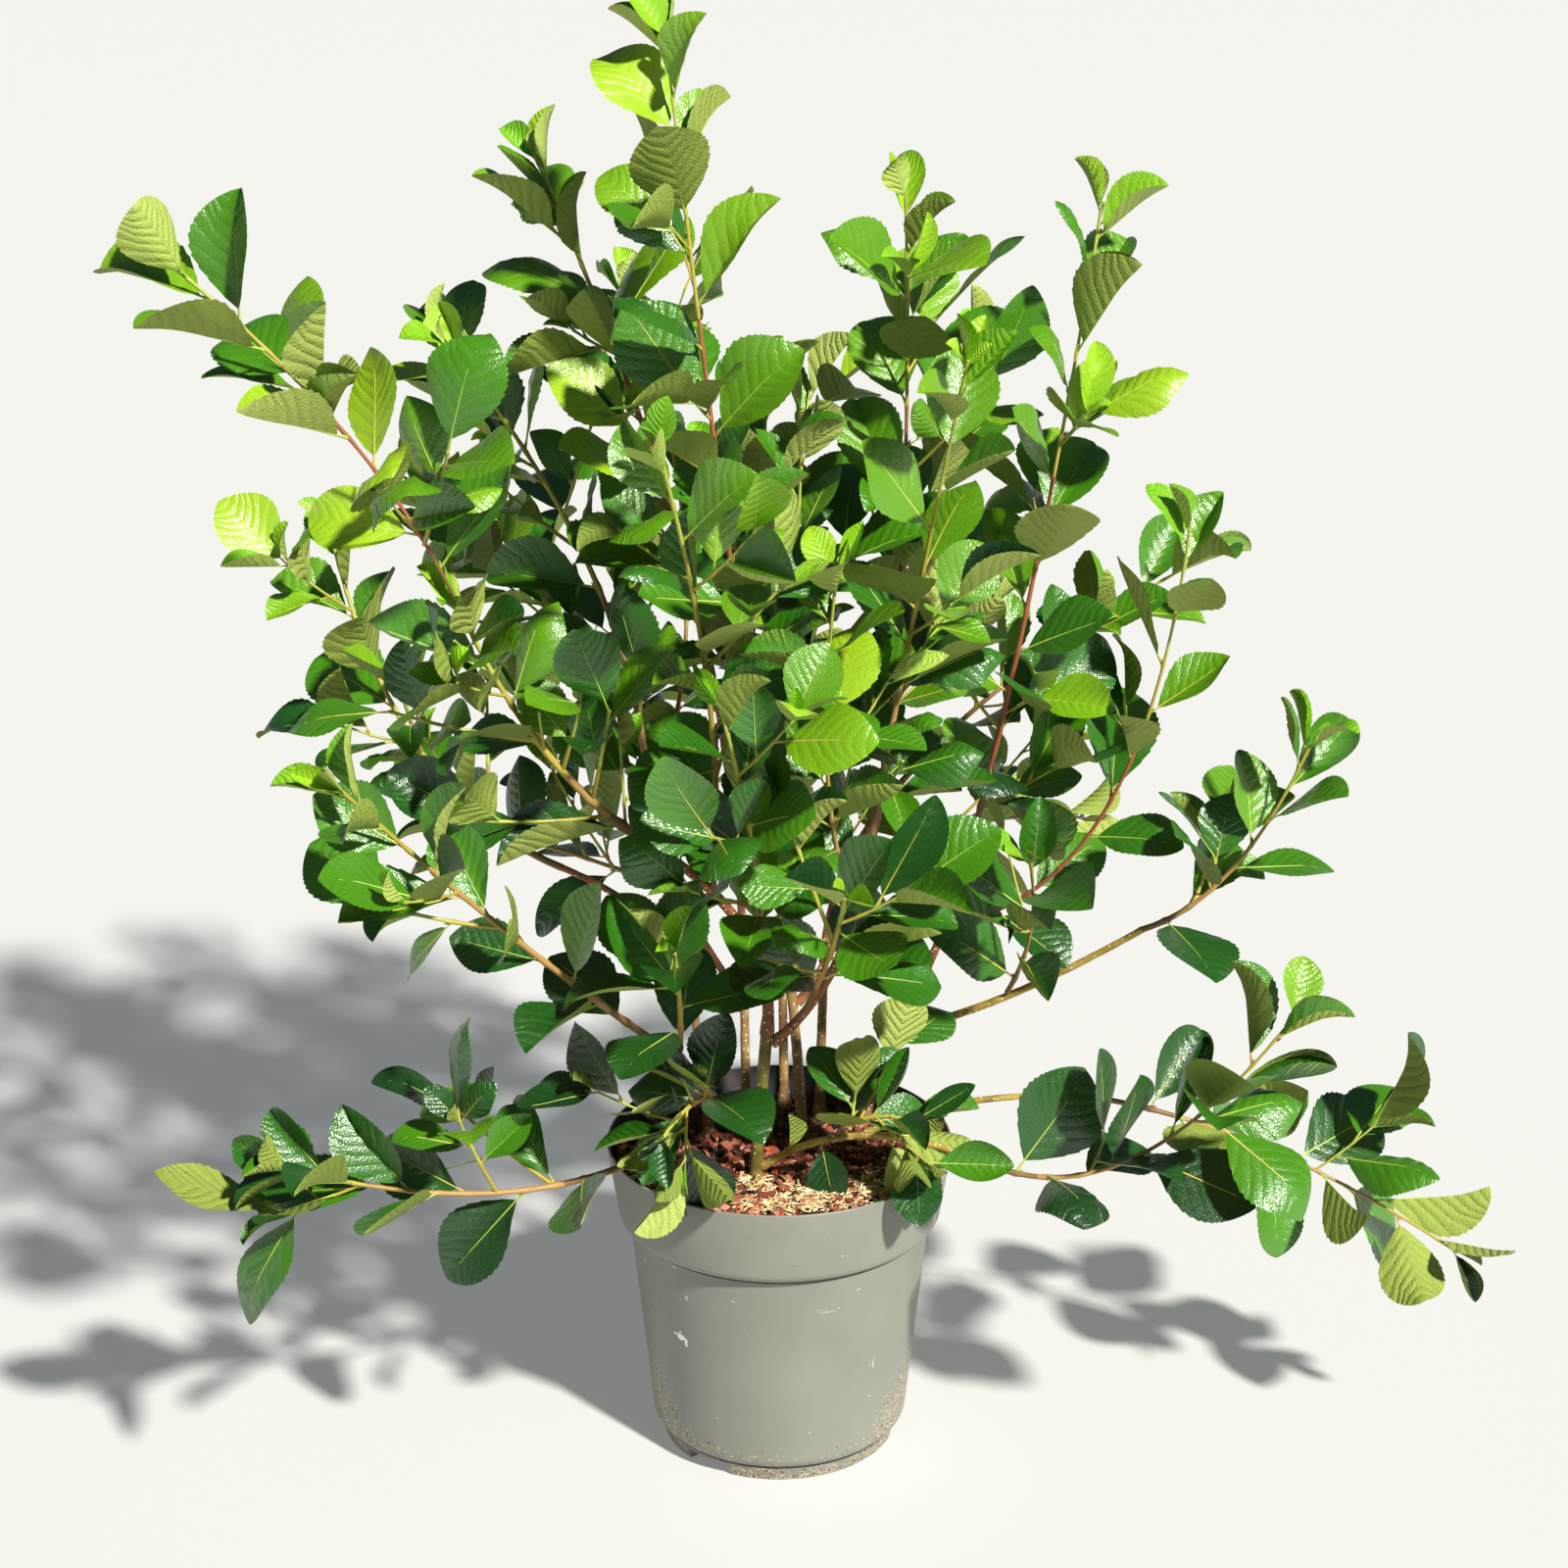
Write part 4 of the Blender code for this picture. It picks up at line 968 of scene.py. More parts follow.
def leaf_at(shoot, share, turn, open_angle, length, draw):
    """A leaf's place, direction, upper side and shape, on a shoot at a share of its length."""
    ahead = shoot.slope(share)
    level = ahead.cross(UP)
    side = level.normalized() if level.length > 0.1 else Vector((1, 0, 0))
    outward = turned(side, ahead, turn)
    flat = 1 - abs(ahead.z)
    outward = (outward + UP * (LIFTING - outward.z * LEVELLING) * flat).normalized()
    along = (ahead * math.cos(open_angle) + outward * math.sin(open_angle)).normalized()
    outside = Vector((along.x, along.y, 0)) + shoot.at(share) * AWAY
    outside.z = 0
    facing = ahead * FACING_AHEAD + UP * FACING_UP + LIGHT * FACING_LIGHT
    facing += outside.normalized() * FACING_OUT
    up = facing - along * facing.dot(along)
    up = turned(up.normalized(), along, math.radians(draw["roll"]))
    return {
        "foot": shoot.at(share),
        "along": along,
        "up": up,
        "length": length,
        "breadth": draw["breadth"],
        "fold": draw["fold"],
        "droop": draw["droop"],
    }


# How far chance may take one leaf: degrees of roll, opening and turn, and shares of its length or size
LEAF_SPREADS = {
    "roll": (-24, 24),
    "breadth": (0.86, 1.12),
    "fold": (0.02, 0.14),
    "droop": (-0.02, 0.16),
    "open": (-8, 8),
    "turn": (-14, 14),
    "size": (0.86, 1.08),
}


def leaf_draw(rng):
    """The chance part of one leaf."""
    return {key: rng.uniform(*spread) for key, spread in LEAF_SPREADS.items()}


def solid_fits(room, shoot, leaf):
    """Takes the room of a leaf that the solids have, if it is free."""
    stalks = shoot.name + "_stalks"
    whole = leaf_solid(leaf)
    outer = leaf_solid(leaf, ROOM, ROOM_START)
    clear_of_others = room.free((shoot.name, stalks), *whole)
    if not (over_pot(outer[0]) and clear_of_others and room.free((shoot.name,), *outer)):
        return False
    room.add(stalks, *whole)
    room.add("blade", *outer)
    return True


def place_leaf(room, shoot, share, turn, open_angle, length, draw, fits=solid_fits):
    """The first try that finds room for a leaf, or None."""
    for twist, lift, size in TRIES:
        tried_turn = turn + math.radians(twist)
        tried_angle = open_angle + math.radians(lift)
        leaf = leaf_at(shoot, share, tried_turn, tried_angle, length * size, draw)
        if fits(room, shoot, leaf):
            return leaf
    return None


def leaves_on(room, shoot, first, count, size, rng, rosette=False):
    """Leaves up a shoot by the spiral rule, closer and smaller towards its growing tip."""
    found = []
    turn = rng.uniform(0, math.tau)
    for number in range(count):
        share = number / max(1, count - 1)
        where = first + (LAST_LEAF - first) * (1 - (1 - share) ** CROWDING)
        draw = leaf_draw(rng)
        young = max(0.0, (share - YOUNG_FROM) / (1 - YOUNG_FROM))
        length = size * draw["size"] * (1 - YOUNG_LOST * young * young)
        if rosette:
            length = size * draw["size"] * (1 - TWIG_LEAF_LOST * (1 - share))
        open_angle = math.radians(OPEN_AT_FOOT - OPEN_LOST * share + draw["open"])
        leaf = place_leaf(room, shoot, where, turn + math.radians(draw["turn"]), open_angle, length, draw)
        turn += TURN
        if leaf:
            leaf["share"] = where
            leaf["young"] = 0.0 if rosette else young
            found.append(leaf)
    return found


def side_twig(room, name, carrier, share, length, turn):
    """A short twig off the main shoot, in the first direction that finds room, or None."""
    for attempt in range(TWIG_TRIES):
        ahead = carrier.slope(share)
        side = ahead.orthogonal().normalized()
        outward = turned(side, ahead, turn + attempt * TWIG_STEP)
        lead = (ahead * TWIG_AHEAD + outward + UP * TWIG_UP).normalized()
        foot = carrier.at(share)
        tip = foot + lead * length + UP * TWIG_LIFT * length
        twig = Shoot(name, foot, lead, tip, 0.0, TWIG_FOOT, TWIG_TIP)
        around = Shoot(name, foot, lead, tip + lead * TWIG_ROOM, 0.0, TWIG_ROOM, TWIG_ROOM)
        solid = tube(around, SHOOT_SIDES)
        if over_pot(solid[0]) and room.free((carrier.name,), *solid):
            room.add(name, *tube(twig, SHOOT_SIDES))
            return twig
    return None


def grow_masses(room, limbs):
    """The shoots of each mass of foliage, and the leaves on each shoot, as the solids have them."""
    mains = {}
    for name, carrier, share, tip, arch, *_ in MASSES:
        on = limbs.get(carrier) or mains[carrier]
        if share == 1.0:
            main = on_tip(name, on, tip, arch, SHOOT_TIP)
        else:
            main = on_side(name, on, share, tip, arch, SHOOT_FOOT, SHOOT_TIP, SHOOT_SIDES)
        mains[name] = main
        room.add(name, *tube(main, SHOOT_SIDES))
    shoots = {}
    for name, *_, twigs, size in MASSES:
        rng = random.Random(name)
        found = []
        for number in range(twigs):
            share = TWIG_FROM + TWIG_SPREAD * (number + rng.uniform(0.1, 0.9)) / twigs
            length = size / 1000 * rng.uniform(*TWIG_LENGTH)
            turn = rng.uniform(0, math.tau)
            found.append(side_twig(room, f"{name}_twig_{number}", mains[name], share, length, turn))
        shoots[name] = [mains[name], *filter(None, found)]
    masses = {}
    for name, *_, leaves, _, size in MASSES:
        rng = random.Random(name + " leaves")
        main, *twigs = shoots[name]
        masses[name] = [(main, leaves_on(room, main, FIRST_LEAF, leaves, size / 1000, rng))]
        for twig in twigs:
            count = rng.choice(TWIG_LEAVES)
            tuft = leaves_on(room, twig, TWIG_FIRST_LEAF, count, TWIG_LEAF * size / 1000, rng, True)
            masses[name].append((twig, tuft))
    return masses


def within(points):
    """Whether points lie in the box of the solids."""
    low, high = cad_box
    return all(low[axis] < point[axis] < high[axis] for point in points for axis in range(3))


# Finer growth, which the solids leave out: spurs off the leafy shoots, with a few smaller leaves each.
# There are fewer of them the further out a shoot reaches
SPURS = 5
SPURS_AT_MIDDLE = 1.25
SPURLESS_REACH = 0.5
SPUR_FROM = 0.04
SPUR_SPREAD = 0.86
SPUR_LENGTH = (0.022, 0.085)
SPUR_FOOT = 0.0014
SPUR_TIP = 0.0010
SPUR_LEAVES = (3, 3, 4)
SPUR_LEAF = (0.85, 1.08)
SPUR_FIRST_LEAF = 0.35
SPUR_LEAF_SPREAD = 0.63
SPUR_OPEN_AT_FOOT = 64
SPUR_OPEN_LOST = 30

# Share of a spur's leaf that keeps clear of its neighbours, and where it starts
SPUR_TIGHTNESS = 0.88
SPUR_START = 0.30

# Masses that the photograph shows open, and ones that it shows dense
OPEN = ("right_inner", "right_high", "right_front", "right_reach", "left_skirt", "front_left", "left_reach")
OPEN_SHARE = 0.35
DENSE = ("left_high", "left_rise", "left_crest", "left_middle", "top_left")
DENSE_SHARE = 1.7


def spur_fits(room, shoot, leaf):
    """Takes the room of a leaf of the finer growth, if it is free and within the reach of the solids."""
    solid = leaf_solid(leaf, SPUR_TIGHTNESS, SPUR_START)
    if not (over_pot(solid[0]) and within(solid[0]) and room.free((shoot.name,), *solid)):
        return False
    room.add("spur", *solid)
    return True


def spur_leaves(room, twig, size, turn, rng):
    """The few leaves of a spur, in a spiral."""
    found = []
    count = rng.choice(SPUR_LEAVES)
    for number in range(count):
        share = SPUR_FIRST_LEAF + SPUR_LEAF_SPREAD * number / (count - 1)
        draw = leaf_draw(rng)
        length = size * rng.uniform(*SPUR_LEAF) * draw["size"]
        open_angle = math.radians(SPUR_OPEN_AT_FOOT - SPUR_OPEN_LOST * share + draw["open"])
        leaf = place_leaf(room, twig, share, turn, open_angle, length, draw, spur_fits)
        turn += TURN
        if leaf:
            leaf["share"] = share
            leaf["young"] = 0.0
            found.append(leaf)
    return found


def grow_spurs(room, masses):
    """Spurs with leaves on every mass, added to the shoots and leaves that the solids have."""
    for name, _, _, tip, *_, size in MASSES:
        rng = random.Random(name + " spurs")
        main = masses[name][0][0]
        fullness = SPURS_AT_MIDDLE - math.hypot(tip[0], tip[1]) / SPURLESS_REACH
        if name.endswith(OPEN):
            fullness *= OPEN_SHARE
        if name.endswith(DENSE):
            fullness *= DENSE_SHARE
        spurs = max(1, round(SPURS * fullness))
        for number in range(spurs):
            where = SPUR_FROM + SPUR_SPREAD * (number + rng.random()) / spurs
            length = rng.uniform(*SPUR_LENGTH)
            turn = rng.uniform(0, math.tau)
            twig = side_twig(room, f"{name}_spur_{number}", main, where, length, turn)
            if twig is None or not within(tube(twig, SHOOT_SIDES)[0]):
                continue
            twig.thick, twig.thin = SPUR_FOOT, SPUR_TIP
            masses[name].append((twig, spur_leaves(room, twig, size / 1000, turn, rng)))


masses = grow_masses(room, limbs)
grow_spurs(room, masses)

# Green shoot bark: thin, smooth skin, yellow green where it is new and reddish brown where the sun has
# tanned it.
shoot_colours = ("#7d5f36", "#9c5838", "#a9854a", "#aa9c3c", "#a5ab48", "#93ad3c")
SHOOT_GRAIN = 0.00167
shoot_finishes = []
for number, colour in enumerate(shoot_colours):
    shoot_finish = finish_of(f"shoot_bark_{number}", colour, 0.5)
    grained(shoot_finish, SHOOT_GRAIN, 3.0, 0.25, 0.0004)
    shoot_finishes.append(shoot_finish)
OLD_WOOD, TANNED, STRAW, YELLOW_GREEN, NEW_GREEN, BUD_GREEN = range(6)

# The shoots' fineness, how deep their foot lies in the carrier, and the knuckle at each leaf
SHOOT_AROUND = 7
SHOOT_RING = 0.008
SHOOT_ROOT = 0.0012
KNUCKLE = 0.30
KNUCKLE_HALF = 0.004

# How a shoot thins out to its tip. Those of the left and the front are stouter
TAPER = 1.5
STOUT = ("foliage_left", "foliage_front", "foliage_top_left")
STOUT_SLIM = 1.05
STOUT_TAPER = 1.1

# A bud: its length and radius, its lean ahead and outwards, its seat, and its radius along it in shares
BUD_LENGTH = 0.0055
BUD_RADIUS = 0.0012
BUD_AHEAD = 0.85
BUD_OUT = 0.35
BUD_SEAT = 0.8
BUD_ABOVE = 0.0015
BUD_SHAPE = ((0.0, 0.7), (0.35, 1.0), (1.0, 0.15))


def shoot_skin(shoot, leaves, colours):
    """A shoot as a closed tube with a knuckle at each leaf, coloured in stretches from foot to tip."""
    rings = max(3, round(shoot.length / SHOOT_RING))
    shares = sorted({*(step / rings for step in range(rings + 1)), *(leaf["share"] for leaf in leaves)})
    knuckles = [leaf["share"] for leaf in leaves]
    slim, taper = (STOUT_SLIM, STOUT_TAPER) if shoot.name.startswith(STOUT) else (SLIM, TAPER)
    centres = [shoot.foot - shoot.lead * SHOOT_ROOT]
    aheads = [shoot.lead]
    radii = [shoot.thick * slim]
    for share in shares:
        near = min((abs(share - k) * shoot.length for k in knuckles), default=1.0)
        centres.append(shoot.curve(share))
        aheads.append(shoot.slope(share))
        radius = slim * (shoot.thin + (shoot.thick - shoot.thin) * (1 - share) ** taper)
        radii.append(radius * (1 + KNUCKLE * max(0.0, 1 - near / KNUCKLE_HALF)))
    verts, faces = ringed(centres, aheads, radii, SHOOT_AROUND)
    finishes = [colours[0]]
    for share in shares:
        finishes += [colours[min(len(colours) - 1, int(share * len(colours)))]] * SHOOT_AROUND
    finishes.append(colours[-1])
    return verts, faces, finishes


def bud_at(leaf, shoot):
    """A pointed bud in the angle between a leaf's stalk and its shoot."""
    share = leaf["share"]
    ahead = shoot.slope(share)
    outward = (leaf["along"] - ahead * leaf["along"].dot(ahead)).normalized()
    lead = (ahead * BUD_AHEAD + outward * BUD_OUT).normalized()
    foot = shoot.curve(share) + outward * shoot.radius(share) * BUD_SEAT + ahead * BUD_ABOVE
    centres = [foot + lead * BUD_LENGTH * part for part, _ in BUD_SHAPE]
    return ringed(centres, [lead] * 3, [BUD_RADIUS * girth for _, girth in BUD_SHAPE], 4)


# Leaves: their outline, their quilted surface between the side veins, and how they fold and hang
ROWS = 10
COLUMNS = (-1.0, -0.5, 0.0, 0.5, 1.0)
STALK = 0.11
BLADE_WIDTH = 0.68
GROWN = 1.09
OUTLINE_LEAN = 1.16
OUTLINE_FULLNESS = 0.76
QUILTING = 0.0050
VEIN_SLANT = 0.60
BLADE_THICKNESS = 0.0058

# The toothed edge beside one row: share of the row and whether the edge stands out or in there
TOOTH = 0.022
TEETH = ((0.38, 1), (0.50, -1), (0.90, 1))


def outline(t):
    """Half width of a blade at a share of its length, from 0 at the stalk to 0 at the short point."""
    return np.sin(np.pi * np.clip(t, 0, 1) ** OUTLINE_LEAN) ** OUTLINE_FULLNESS


def fan(hub, rim):
    """Triangles from one point to each stretch of a line."""
    return [(hub, start, end) for start, end in zip(rim, rim[1:])]


def edge_cell(low, high, rim, row):
    """Triangles between two inner points and the toothed edge beside them."""
    if row == 0:
        return fan(high, rim)
    if row == ROWS - 1:
        return fan(low, rim)
    return [*fan(low, rim[:3]), (low, rim[2], high), *fan(high, rim[2:])]


def leaf_pattern():
    """One leaf's points as (share along, place across, relief, layer, row), and faces, upper ones first."""
    points = [(0.0, 0.0, 0.0, 0, 0.0)]
    index = {}
    for row in range(1, ROWS):
        base = row / ROWS
        ripple = -1.0 if row % 2 else 1.0
        for column in COLUMNS:
            slant = VEIN_SLANT * abs(column) * float(outline(base)) * (1 - base)
            relief = ripple if abs(column) == 0.5 else (-0.5 if column == 0 else 0.0)
            for layer in ((0,) if abs(column) == 1 else (0, 1)):
                index[row, column, layer] = len(points)
                reach = column * (1 - TOOTH * (abs(column) == 1))
                points.append((base + slant, reach, relief, layer, base))
    tip = len(points)
    points.append((1.0, 0.0, 0.0, 0, 1.0))
    teeth = {}
    for row in range(ROWS):
        for column in (-1.0, 1.0):
            low = points[index[row, column, 0]][0] if row else 0.0
            high = points[index[row + 1, column, 0]][0] if row + 1 < ROWS else 1.0
            teeth[row, column] = []
            for part, way in TEETH:
                teeth[row, column].append(len(points))
                reach = column * (1 + way * TOOTH)
                points.append((low + part * (high - low), reach, 0.0, 0, (row + part) / ROWS))

    def corner(row, column, layer):
        if row == 0:
            return 0
        if row == ROWS:
            return tip
        return index[row, column, 0 if abs(column) == 1 else layer]

    faces = []
    for layer in (0, 1):
        for row in range(ROWS):
            for left, right in zip(COLUMNS, COLUMNS[1:]):
                low_left, low_right = corner(row, left, layer), corner(row, right, layer)
                high_left, high_right = corner(row + 1, left, layer), corner(row + 1, right, layer)
                if right == 1.0:
                    rim = [low_right, *teeth[row, right], high_right]
                    loops = edge_cell(low_left, high_left, rim, row)
                elif left == -1.0:
                    rim = [low_left, *teeth[row, left], high_left]
                    loops = [tuple(reversed(loop)) for loop in edge_cell(low_right, high_right, rim, row)]
                else:
                    loops = [tuple(dict.fromkeys((low_left, low_right, high_right, high_left)))]
                faces += loops if layer == 0 else [(loop[0], *reversed(loop[1:])) for loop in loops]
    return np.array(points), faces


pattern, blade_faces = leaf_pattern()
FACES_ABOVE = len(blade_faces) // 2
blade_places = [value for face in blade_faces for corner in face for value in pattern[corner][[4, 1]]]
midrib_rows = [n for n, point in enumerate(pattern) if point[1] == 0 and point[3] == 0]

# Ripples along a wavy edge, how far they are shifted from side to side, and the least bend of a blade
EDGE_WAVES = 9.0
EDGE_SHIFT = 1.3
LEAST_BEND = 0.02


def blade_points(leaf, dress):
    """The points of one leaf's blade in the plant, bent, folded and waved as this leaf is."""
    share, across, relief, layer, row = pattern.T
    length = leaf["length"] * GROWN
    reach = STALK + (1 - STALK) * share
    half = 0.5 * BLADE_WIDTH * length * leaf["breadth"] * outline(share)
    distance = np.abs(across) * half
    side = np.sign(across)
    fold = leaf["fold"] / (LEAF_WIDTH / 2) + dress["fold"] + dress["lopsided"] * side
    tilt = fold + dress["curl"] * np.abs(across)
    x = side * distance * np.cos(tilt)
    z = distance * np.sin(tilt)
    z += relief * QUILTING * length * dress["quilt"] * outline(share) ** 0.5
    ripple = np.sin(dress["phase"] + EDGE_WAVES * share + EDGE_SHIFT * side)
    z += dress["wave"] * length * across ** 2 * ripple
    z -= layer * BLADE_THICKNESS * length
    rest = np.maximum(0.0, reach - WIDEST) * length
    bend = leaf["droop"] / ((1 - WIDEST) / 2) + dress["bend"]
    turn_radius = (1 - WIDEST) * length / (bend if abs(bend) > LEAST_BEND else LEAST_BEND)
    ahead = np.minimum(reach, WIDEST) * length + turn_radius * np.sin(rest / turn_radius)
    lift = -turn_radius * (1 - np.cos(rest / turn_radius))
    tipped = rest / turn_radius
    ahead = ahead + z * np.sin(tipped)
    height = lift + z * np.cos(tipped) + dress["rise"] * length * np.sin(np.pi * reach)
    spin = dress["twist"] * share
    x, height = x * np.cos(spin) - height * np.sin(spin), x * np.sin(spin) + height * np.cos(spin)
    along, up = np.array(leaf["along"]), np.array(leaf["up"])
    right = np.cross(along, up)
    return np.array(leaf["foot"]) + np.outer(ahead, along) + np.outer(x, right) + np.outer(height, up)


# Shares of the leaves, added up, that are folded, rolled under and curled up
FOLDED = 0.16
ROLLED = 0.34
CURLED = 0.44

# Fold, curl and bend in radians: of every leaf, and more of it by these habits or when it is young
PLAIN = ((-0.05, 0.15), (-0.25, 0.15), (-0.3, 0.15))
FOLD_MORE = (0.3, 0.7)
ROLL_UNDER = (0.3, 0.8)
ROLL_DOWN = (0.2, 0.7)
CURL_UP = (0.4, 0.9)
YOUNG_FOLD = 0.25
YOUNG_CURL = 0.35

# The rest of a leaf's departures: lopsided fold and twist in radians, and shares of its relief and length
DRESS_SPREADS = {
    "lopsided": (-0.10, 0.10),
    "quilt": (0.7, 1.3),
    "wave": (0.004, 0.022),
    "phase": (0, math.tau),
    "rise": (-0.01, 0.03),
    "twist": (-0.35, 0.35),
}


def leaf_dress(rng, young):
    """How one leaf departs from the plain shape: most a little, some folded, rolled under or curled."""
    habit = rng.random()
    fold, curl, bend = (rng.uniform(*spread) for spread in PLAIN)
    if habit < FOLDED:
        fold += rng.uniform(*FOLD_MORE)
    elif habit < ROLLED:
        curl -= rng.uniform(*ROLL_UNDER)
        bend += rng.uniform(*ROLL_DOWN)
    elif habit < CURLED:
        curl += rng.uniform(*CURL_UP)
    return {
        "fold": fold + YOUNG_FOLD * young,
        "curl": curl + YOUNG_CURL * young,
        "bend": bend,
        **{key: rng.uniform(*spread) for key, spread in DRESS_SPREADS.items()},
    }


# Radius of a stalk as a share of the leaf's length, how it thins out from the foot to the point, and where
# it bends towards the blade
RIB_RADIUS = 0.0120
RIB_BEND = 0.6
RIB_FOOT = 1.1
RIB_LOSS = 0.85


def midrib_of(points, leaf):
    """The stalk and midrib as one tapering closed tube, from the shoot to the leaf's point."""
    spine = [leaf["foot"], leaf["foot"].lerp(Vector(points[0]), RIB_BEND)]
    spine += [Vector(points[row]) for row in midrib_rows[:-1:2]]
    aheads = [(b - a).normalized() for a, b in zip(spine, spine[1:])]
    aheads.append(aheads[-1])
    thickness = leaf["length"] * RIB_RADIUS
    radii = [thickness * (RIB_FOOT - RIB_LOSS * step / (len(spine) - 1)) for step in range(len(spine))]
    return ringed(spine, aheads, radii, 4)


# Leaf blade: glossy wax over green cells on the upper side, which gives a broad pale sheen and lets the
# quilting show, and a dull olive underside. The greens are dealt out leaf by leaf, lime on the ones still
# opening; low and inner leaves get deeper, bluer greens as painted shade of the crown, outer ones lighter.
VEIN_PAIRS = 8
CELL = 0.0018
CELL_DEPTH = 0.0008
WAX_PATCH = 0.00625
SMOOTHER = 0.06
DULLER = 0.08

# A wave texture of scale 1 has 20 / tau bands to one unit
BANDS = 20 / math.tau


def leaf_finish(name, colour, roughness, veins, depth, gloss):
    """One side of a blade: quilting as deep as veins in metres, and cells that pucker the skin."""
    made = finish_of(name, colour, roughness, 1.5)
    made.node_tree.nodes["Principled BSDF"].inputs["Specular IOR Level"].default_value = gloss
    coordinates = add(made, "TexCoord")
    place = coordinates.outputs["Object"]
    along_blade = {"Vector": coordinates.outputs["UV"], "Scale": VEIN_PAIRS / BANDS}
    ribbed = add(made, "TexWave", along_blade).outputs["Fac"]
    pillows = add(made, "Math", {0: ribbed, 1: 0.5}, operation="POWER")
    quilted = add(made, "Bump", {"Height": pillows, "Strength": 1.0, "Distance": veins})
    cells = add(made, "TexVoronoi", {"Vector": place, "Scale": 1 / CELL})
    puckers = {"Height": cells, "Strength": depth, "Distance": CELL_DEPTH, "Normal": quilted}
    patches = add(made, "TexNoise", {"Vector": place, "Scale": 1 / WAX_PATCH, "Detail": 2.0})
    worn_range = {"Value": patches, "From Min": 0.3, "From Max": 0.7}
    worn_range |= {"To Min": roughness - SMOOTHER, "To Max": roughness + DULLER}
    worn = add(made, "MapRange", worn_range)
    into_shader(made, Roughness=worn, Normal=add(made, "Bump", puckers))
    return made


# Upper greens, from deep blue greens painted as shade inside the crown to light yellow greens for the
# outside
upper_greens_shade_to_sun = ("#0f3a10", "#184c0e", "#2a640a", "#3f7a06", "#578c08", "#70a00e", "#92b81c")
young_colours = ("#80b61c", "#6eaa16", "#92be26")
under_colours = ("#8c9e46", "#9eac56", "#7c8e3c")

# The kinds of finish: name, colours, roughness, quilting in metres, depth of the cells and gloss
LEAF_SIDES = (
    ("leaf_upper", upper_greens_shade_to_sun, 0.35, 0.0004, 0.45, 0.95),
    ("leaf_opening", young_colours, 0.42, 0.0005, 0.4, 0.5),
    ("leaf_under", under_colours, 0.62, 0.0010, 0.8, 0.25),
)
leaf_finishes = []
for name, colours, *look in LEAF_SIDES:
    for number, colour in enumerate(colours):
        leaf_finishes.append(leaf_finish(f"{name}_{number}", colour, *look))
leaf_finishes.append(leaf_finish("leaf_opening_under", "#a2b658", 0.60, 0.0007, 0.6, 0.25))
FIRST_YOUNG = len(upper_greens_shade_to_sun)
FIRST_UNDER = FIRST_YOUNG + len(young_colours)
YOUNG_UNDER = FIRST_UNDER + len(under_colours)

# Stalk and midrib: pale yellow green, smooth and slightly waxy.
RIB_GRAIN = 0.00143
rib_finishes = []
for number, colour in enumerate(("#9db548", "#b0bf56", "#c2b352")):
    rib_finish = finish_of(f"leaf_rib_{number}", colour, 0.5)
    grained(rib_finish, RIB_GRAIN, 2.0, 0.2, 0.0004)
    rib_finishes.append(rib_finish)

# Tips: a tuft of small leaves still opening at the end of each shoot
TUFT_LEAVES = 3
TUFT_FROM = 0.97
TUFT_SIZE = (0.026, 0.058)
TUFT_OPEN = (34, 48)
TUFT_CLOSING = 9
TUFT_BREADTH = 0.8


def tuft_of(shoot, rng):
    """Small upright leaves round a shoot's growing tip."""
    found = []
    turn = rng.uniform(0, math.tau)
    for number in range(TUFT_LEAVES):
        draw = leaf_draw(rng)
        size = TUFT_SIZE[1] + (TUFT_SIZE[0] - TUFT_SIZE[1]) * number / (TUFT_LEAVES - 1)
        share = TUFT_FROM + (1 - TUFT_FROM) * number / TUFT_LEAVES
        open_angle = math.radians(rng.uniform(*TUFT_OPEN) - TUFT_CLOSING * number)
        leaf = leaf_at(shoot, share, turn, open_angle, size * draw["size"], draw)
        leaf["share"] = share
        leaf["young"] = 1.0
        leaf["breadth"] *= TUFT_BREADTH
        turn += TURN
        if within(leaf_solid(leaf)[0]) and over_pot(leaf_solid(leaf)[0]):
            found.append(leaf)
    return found


# Which masses make up each joined piece
AREAS = {
    "left": ("left_rise", "left_crest", "left_reach", "left_skirt", "left_middle", "left_high"),
    "centre": ("top_left", "top", "front_high", "front_middle", "centre_top", "centre_front", "centre"),
    "front": ("pot_left", "pot_right", "front_centre", "front_left", "right_front", "right_inner"),
    "right": ("top_right", "right_crest", "right_high", "right_reach", "right_low", "right_skirt"),
    "back_left": ("back_left_low", "back_left", "back_left_high", "back_centre"),
    "back_right": ("back_low", "back_right_high", "back_right", "back_right_low"),
}

# Masses in full light, where the bark of the main shoot is tanned
TANNED_TOPS = (
    "top_left", "top", "top_right", "right_crest", "left_crest", "centre", "centre_top", "right_high"
)

# Every blade is shaped before the pieces are joined: first those that the solids have, then the spurs'
# and the tufts'. One that would run through another is drawn smaller, or left out if the smallest does too.
SHRINKING = (1.0, 0.92, 0.84, 0.76)
TUFTED = 0.5
blade_room = Room()


def shaped(leaf, shoot, rng):
    """Gives a leaf the points of its blade, clear of every blade so far. False if there is no room."""
    if leaf["up"].dot(shoot.slope(leaf["share"])) < 0:
        leaf["up"] = -leaf["up"]
        leaf["along"] = (leaf["along"] + leaf["up"] * leaf["droop"]).normalized()
    length = leaf["length"]
    for size in SHRINKING:
        leaf["length"] = length * size
        leaf["points"] = blade_points(leaf, leaf_dress(rng, leaf["young"]))
        corners = [Vector(point) for point in leaf["points"]]
        if blade_room.free((), corners, blade_faces):
            blade_room.add("blade", corners, blade_faces)
            return True
    return False


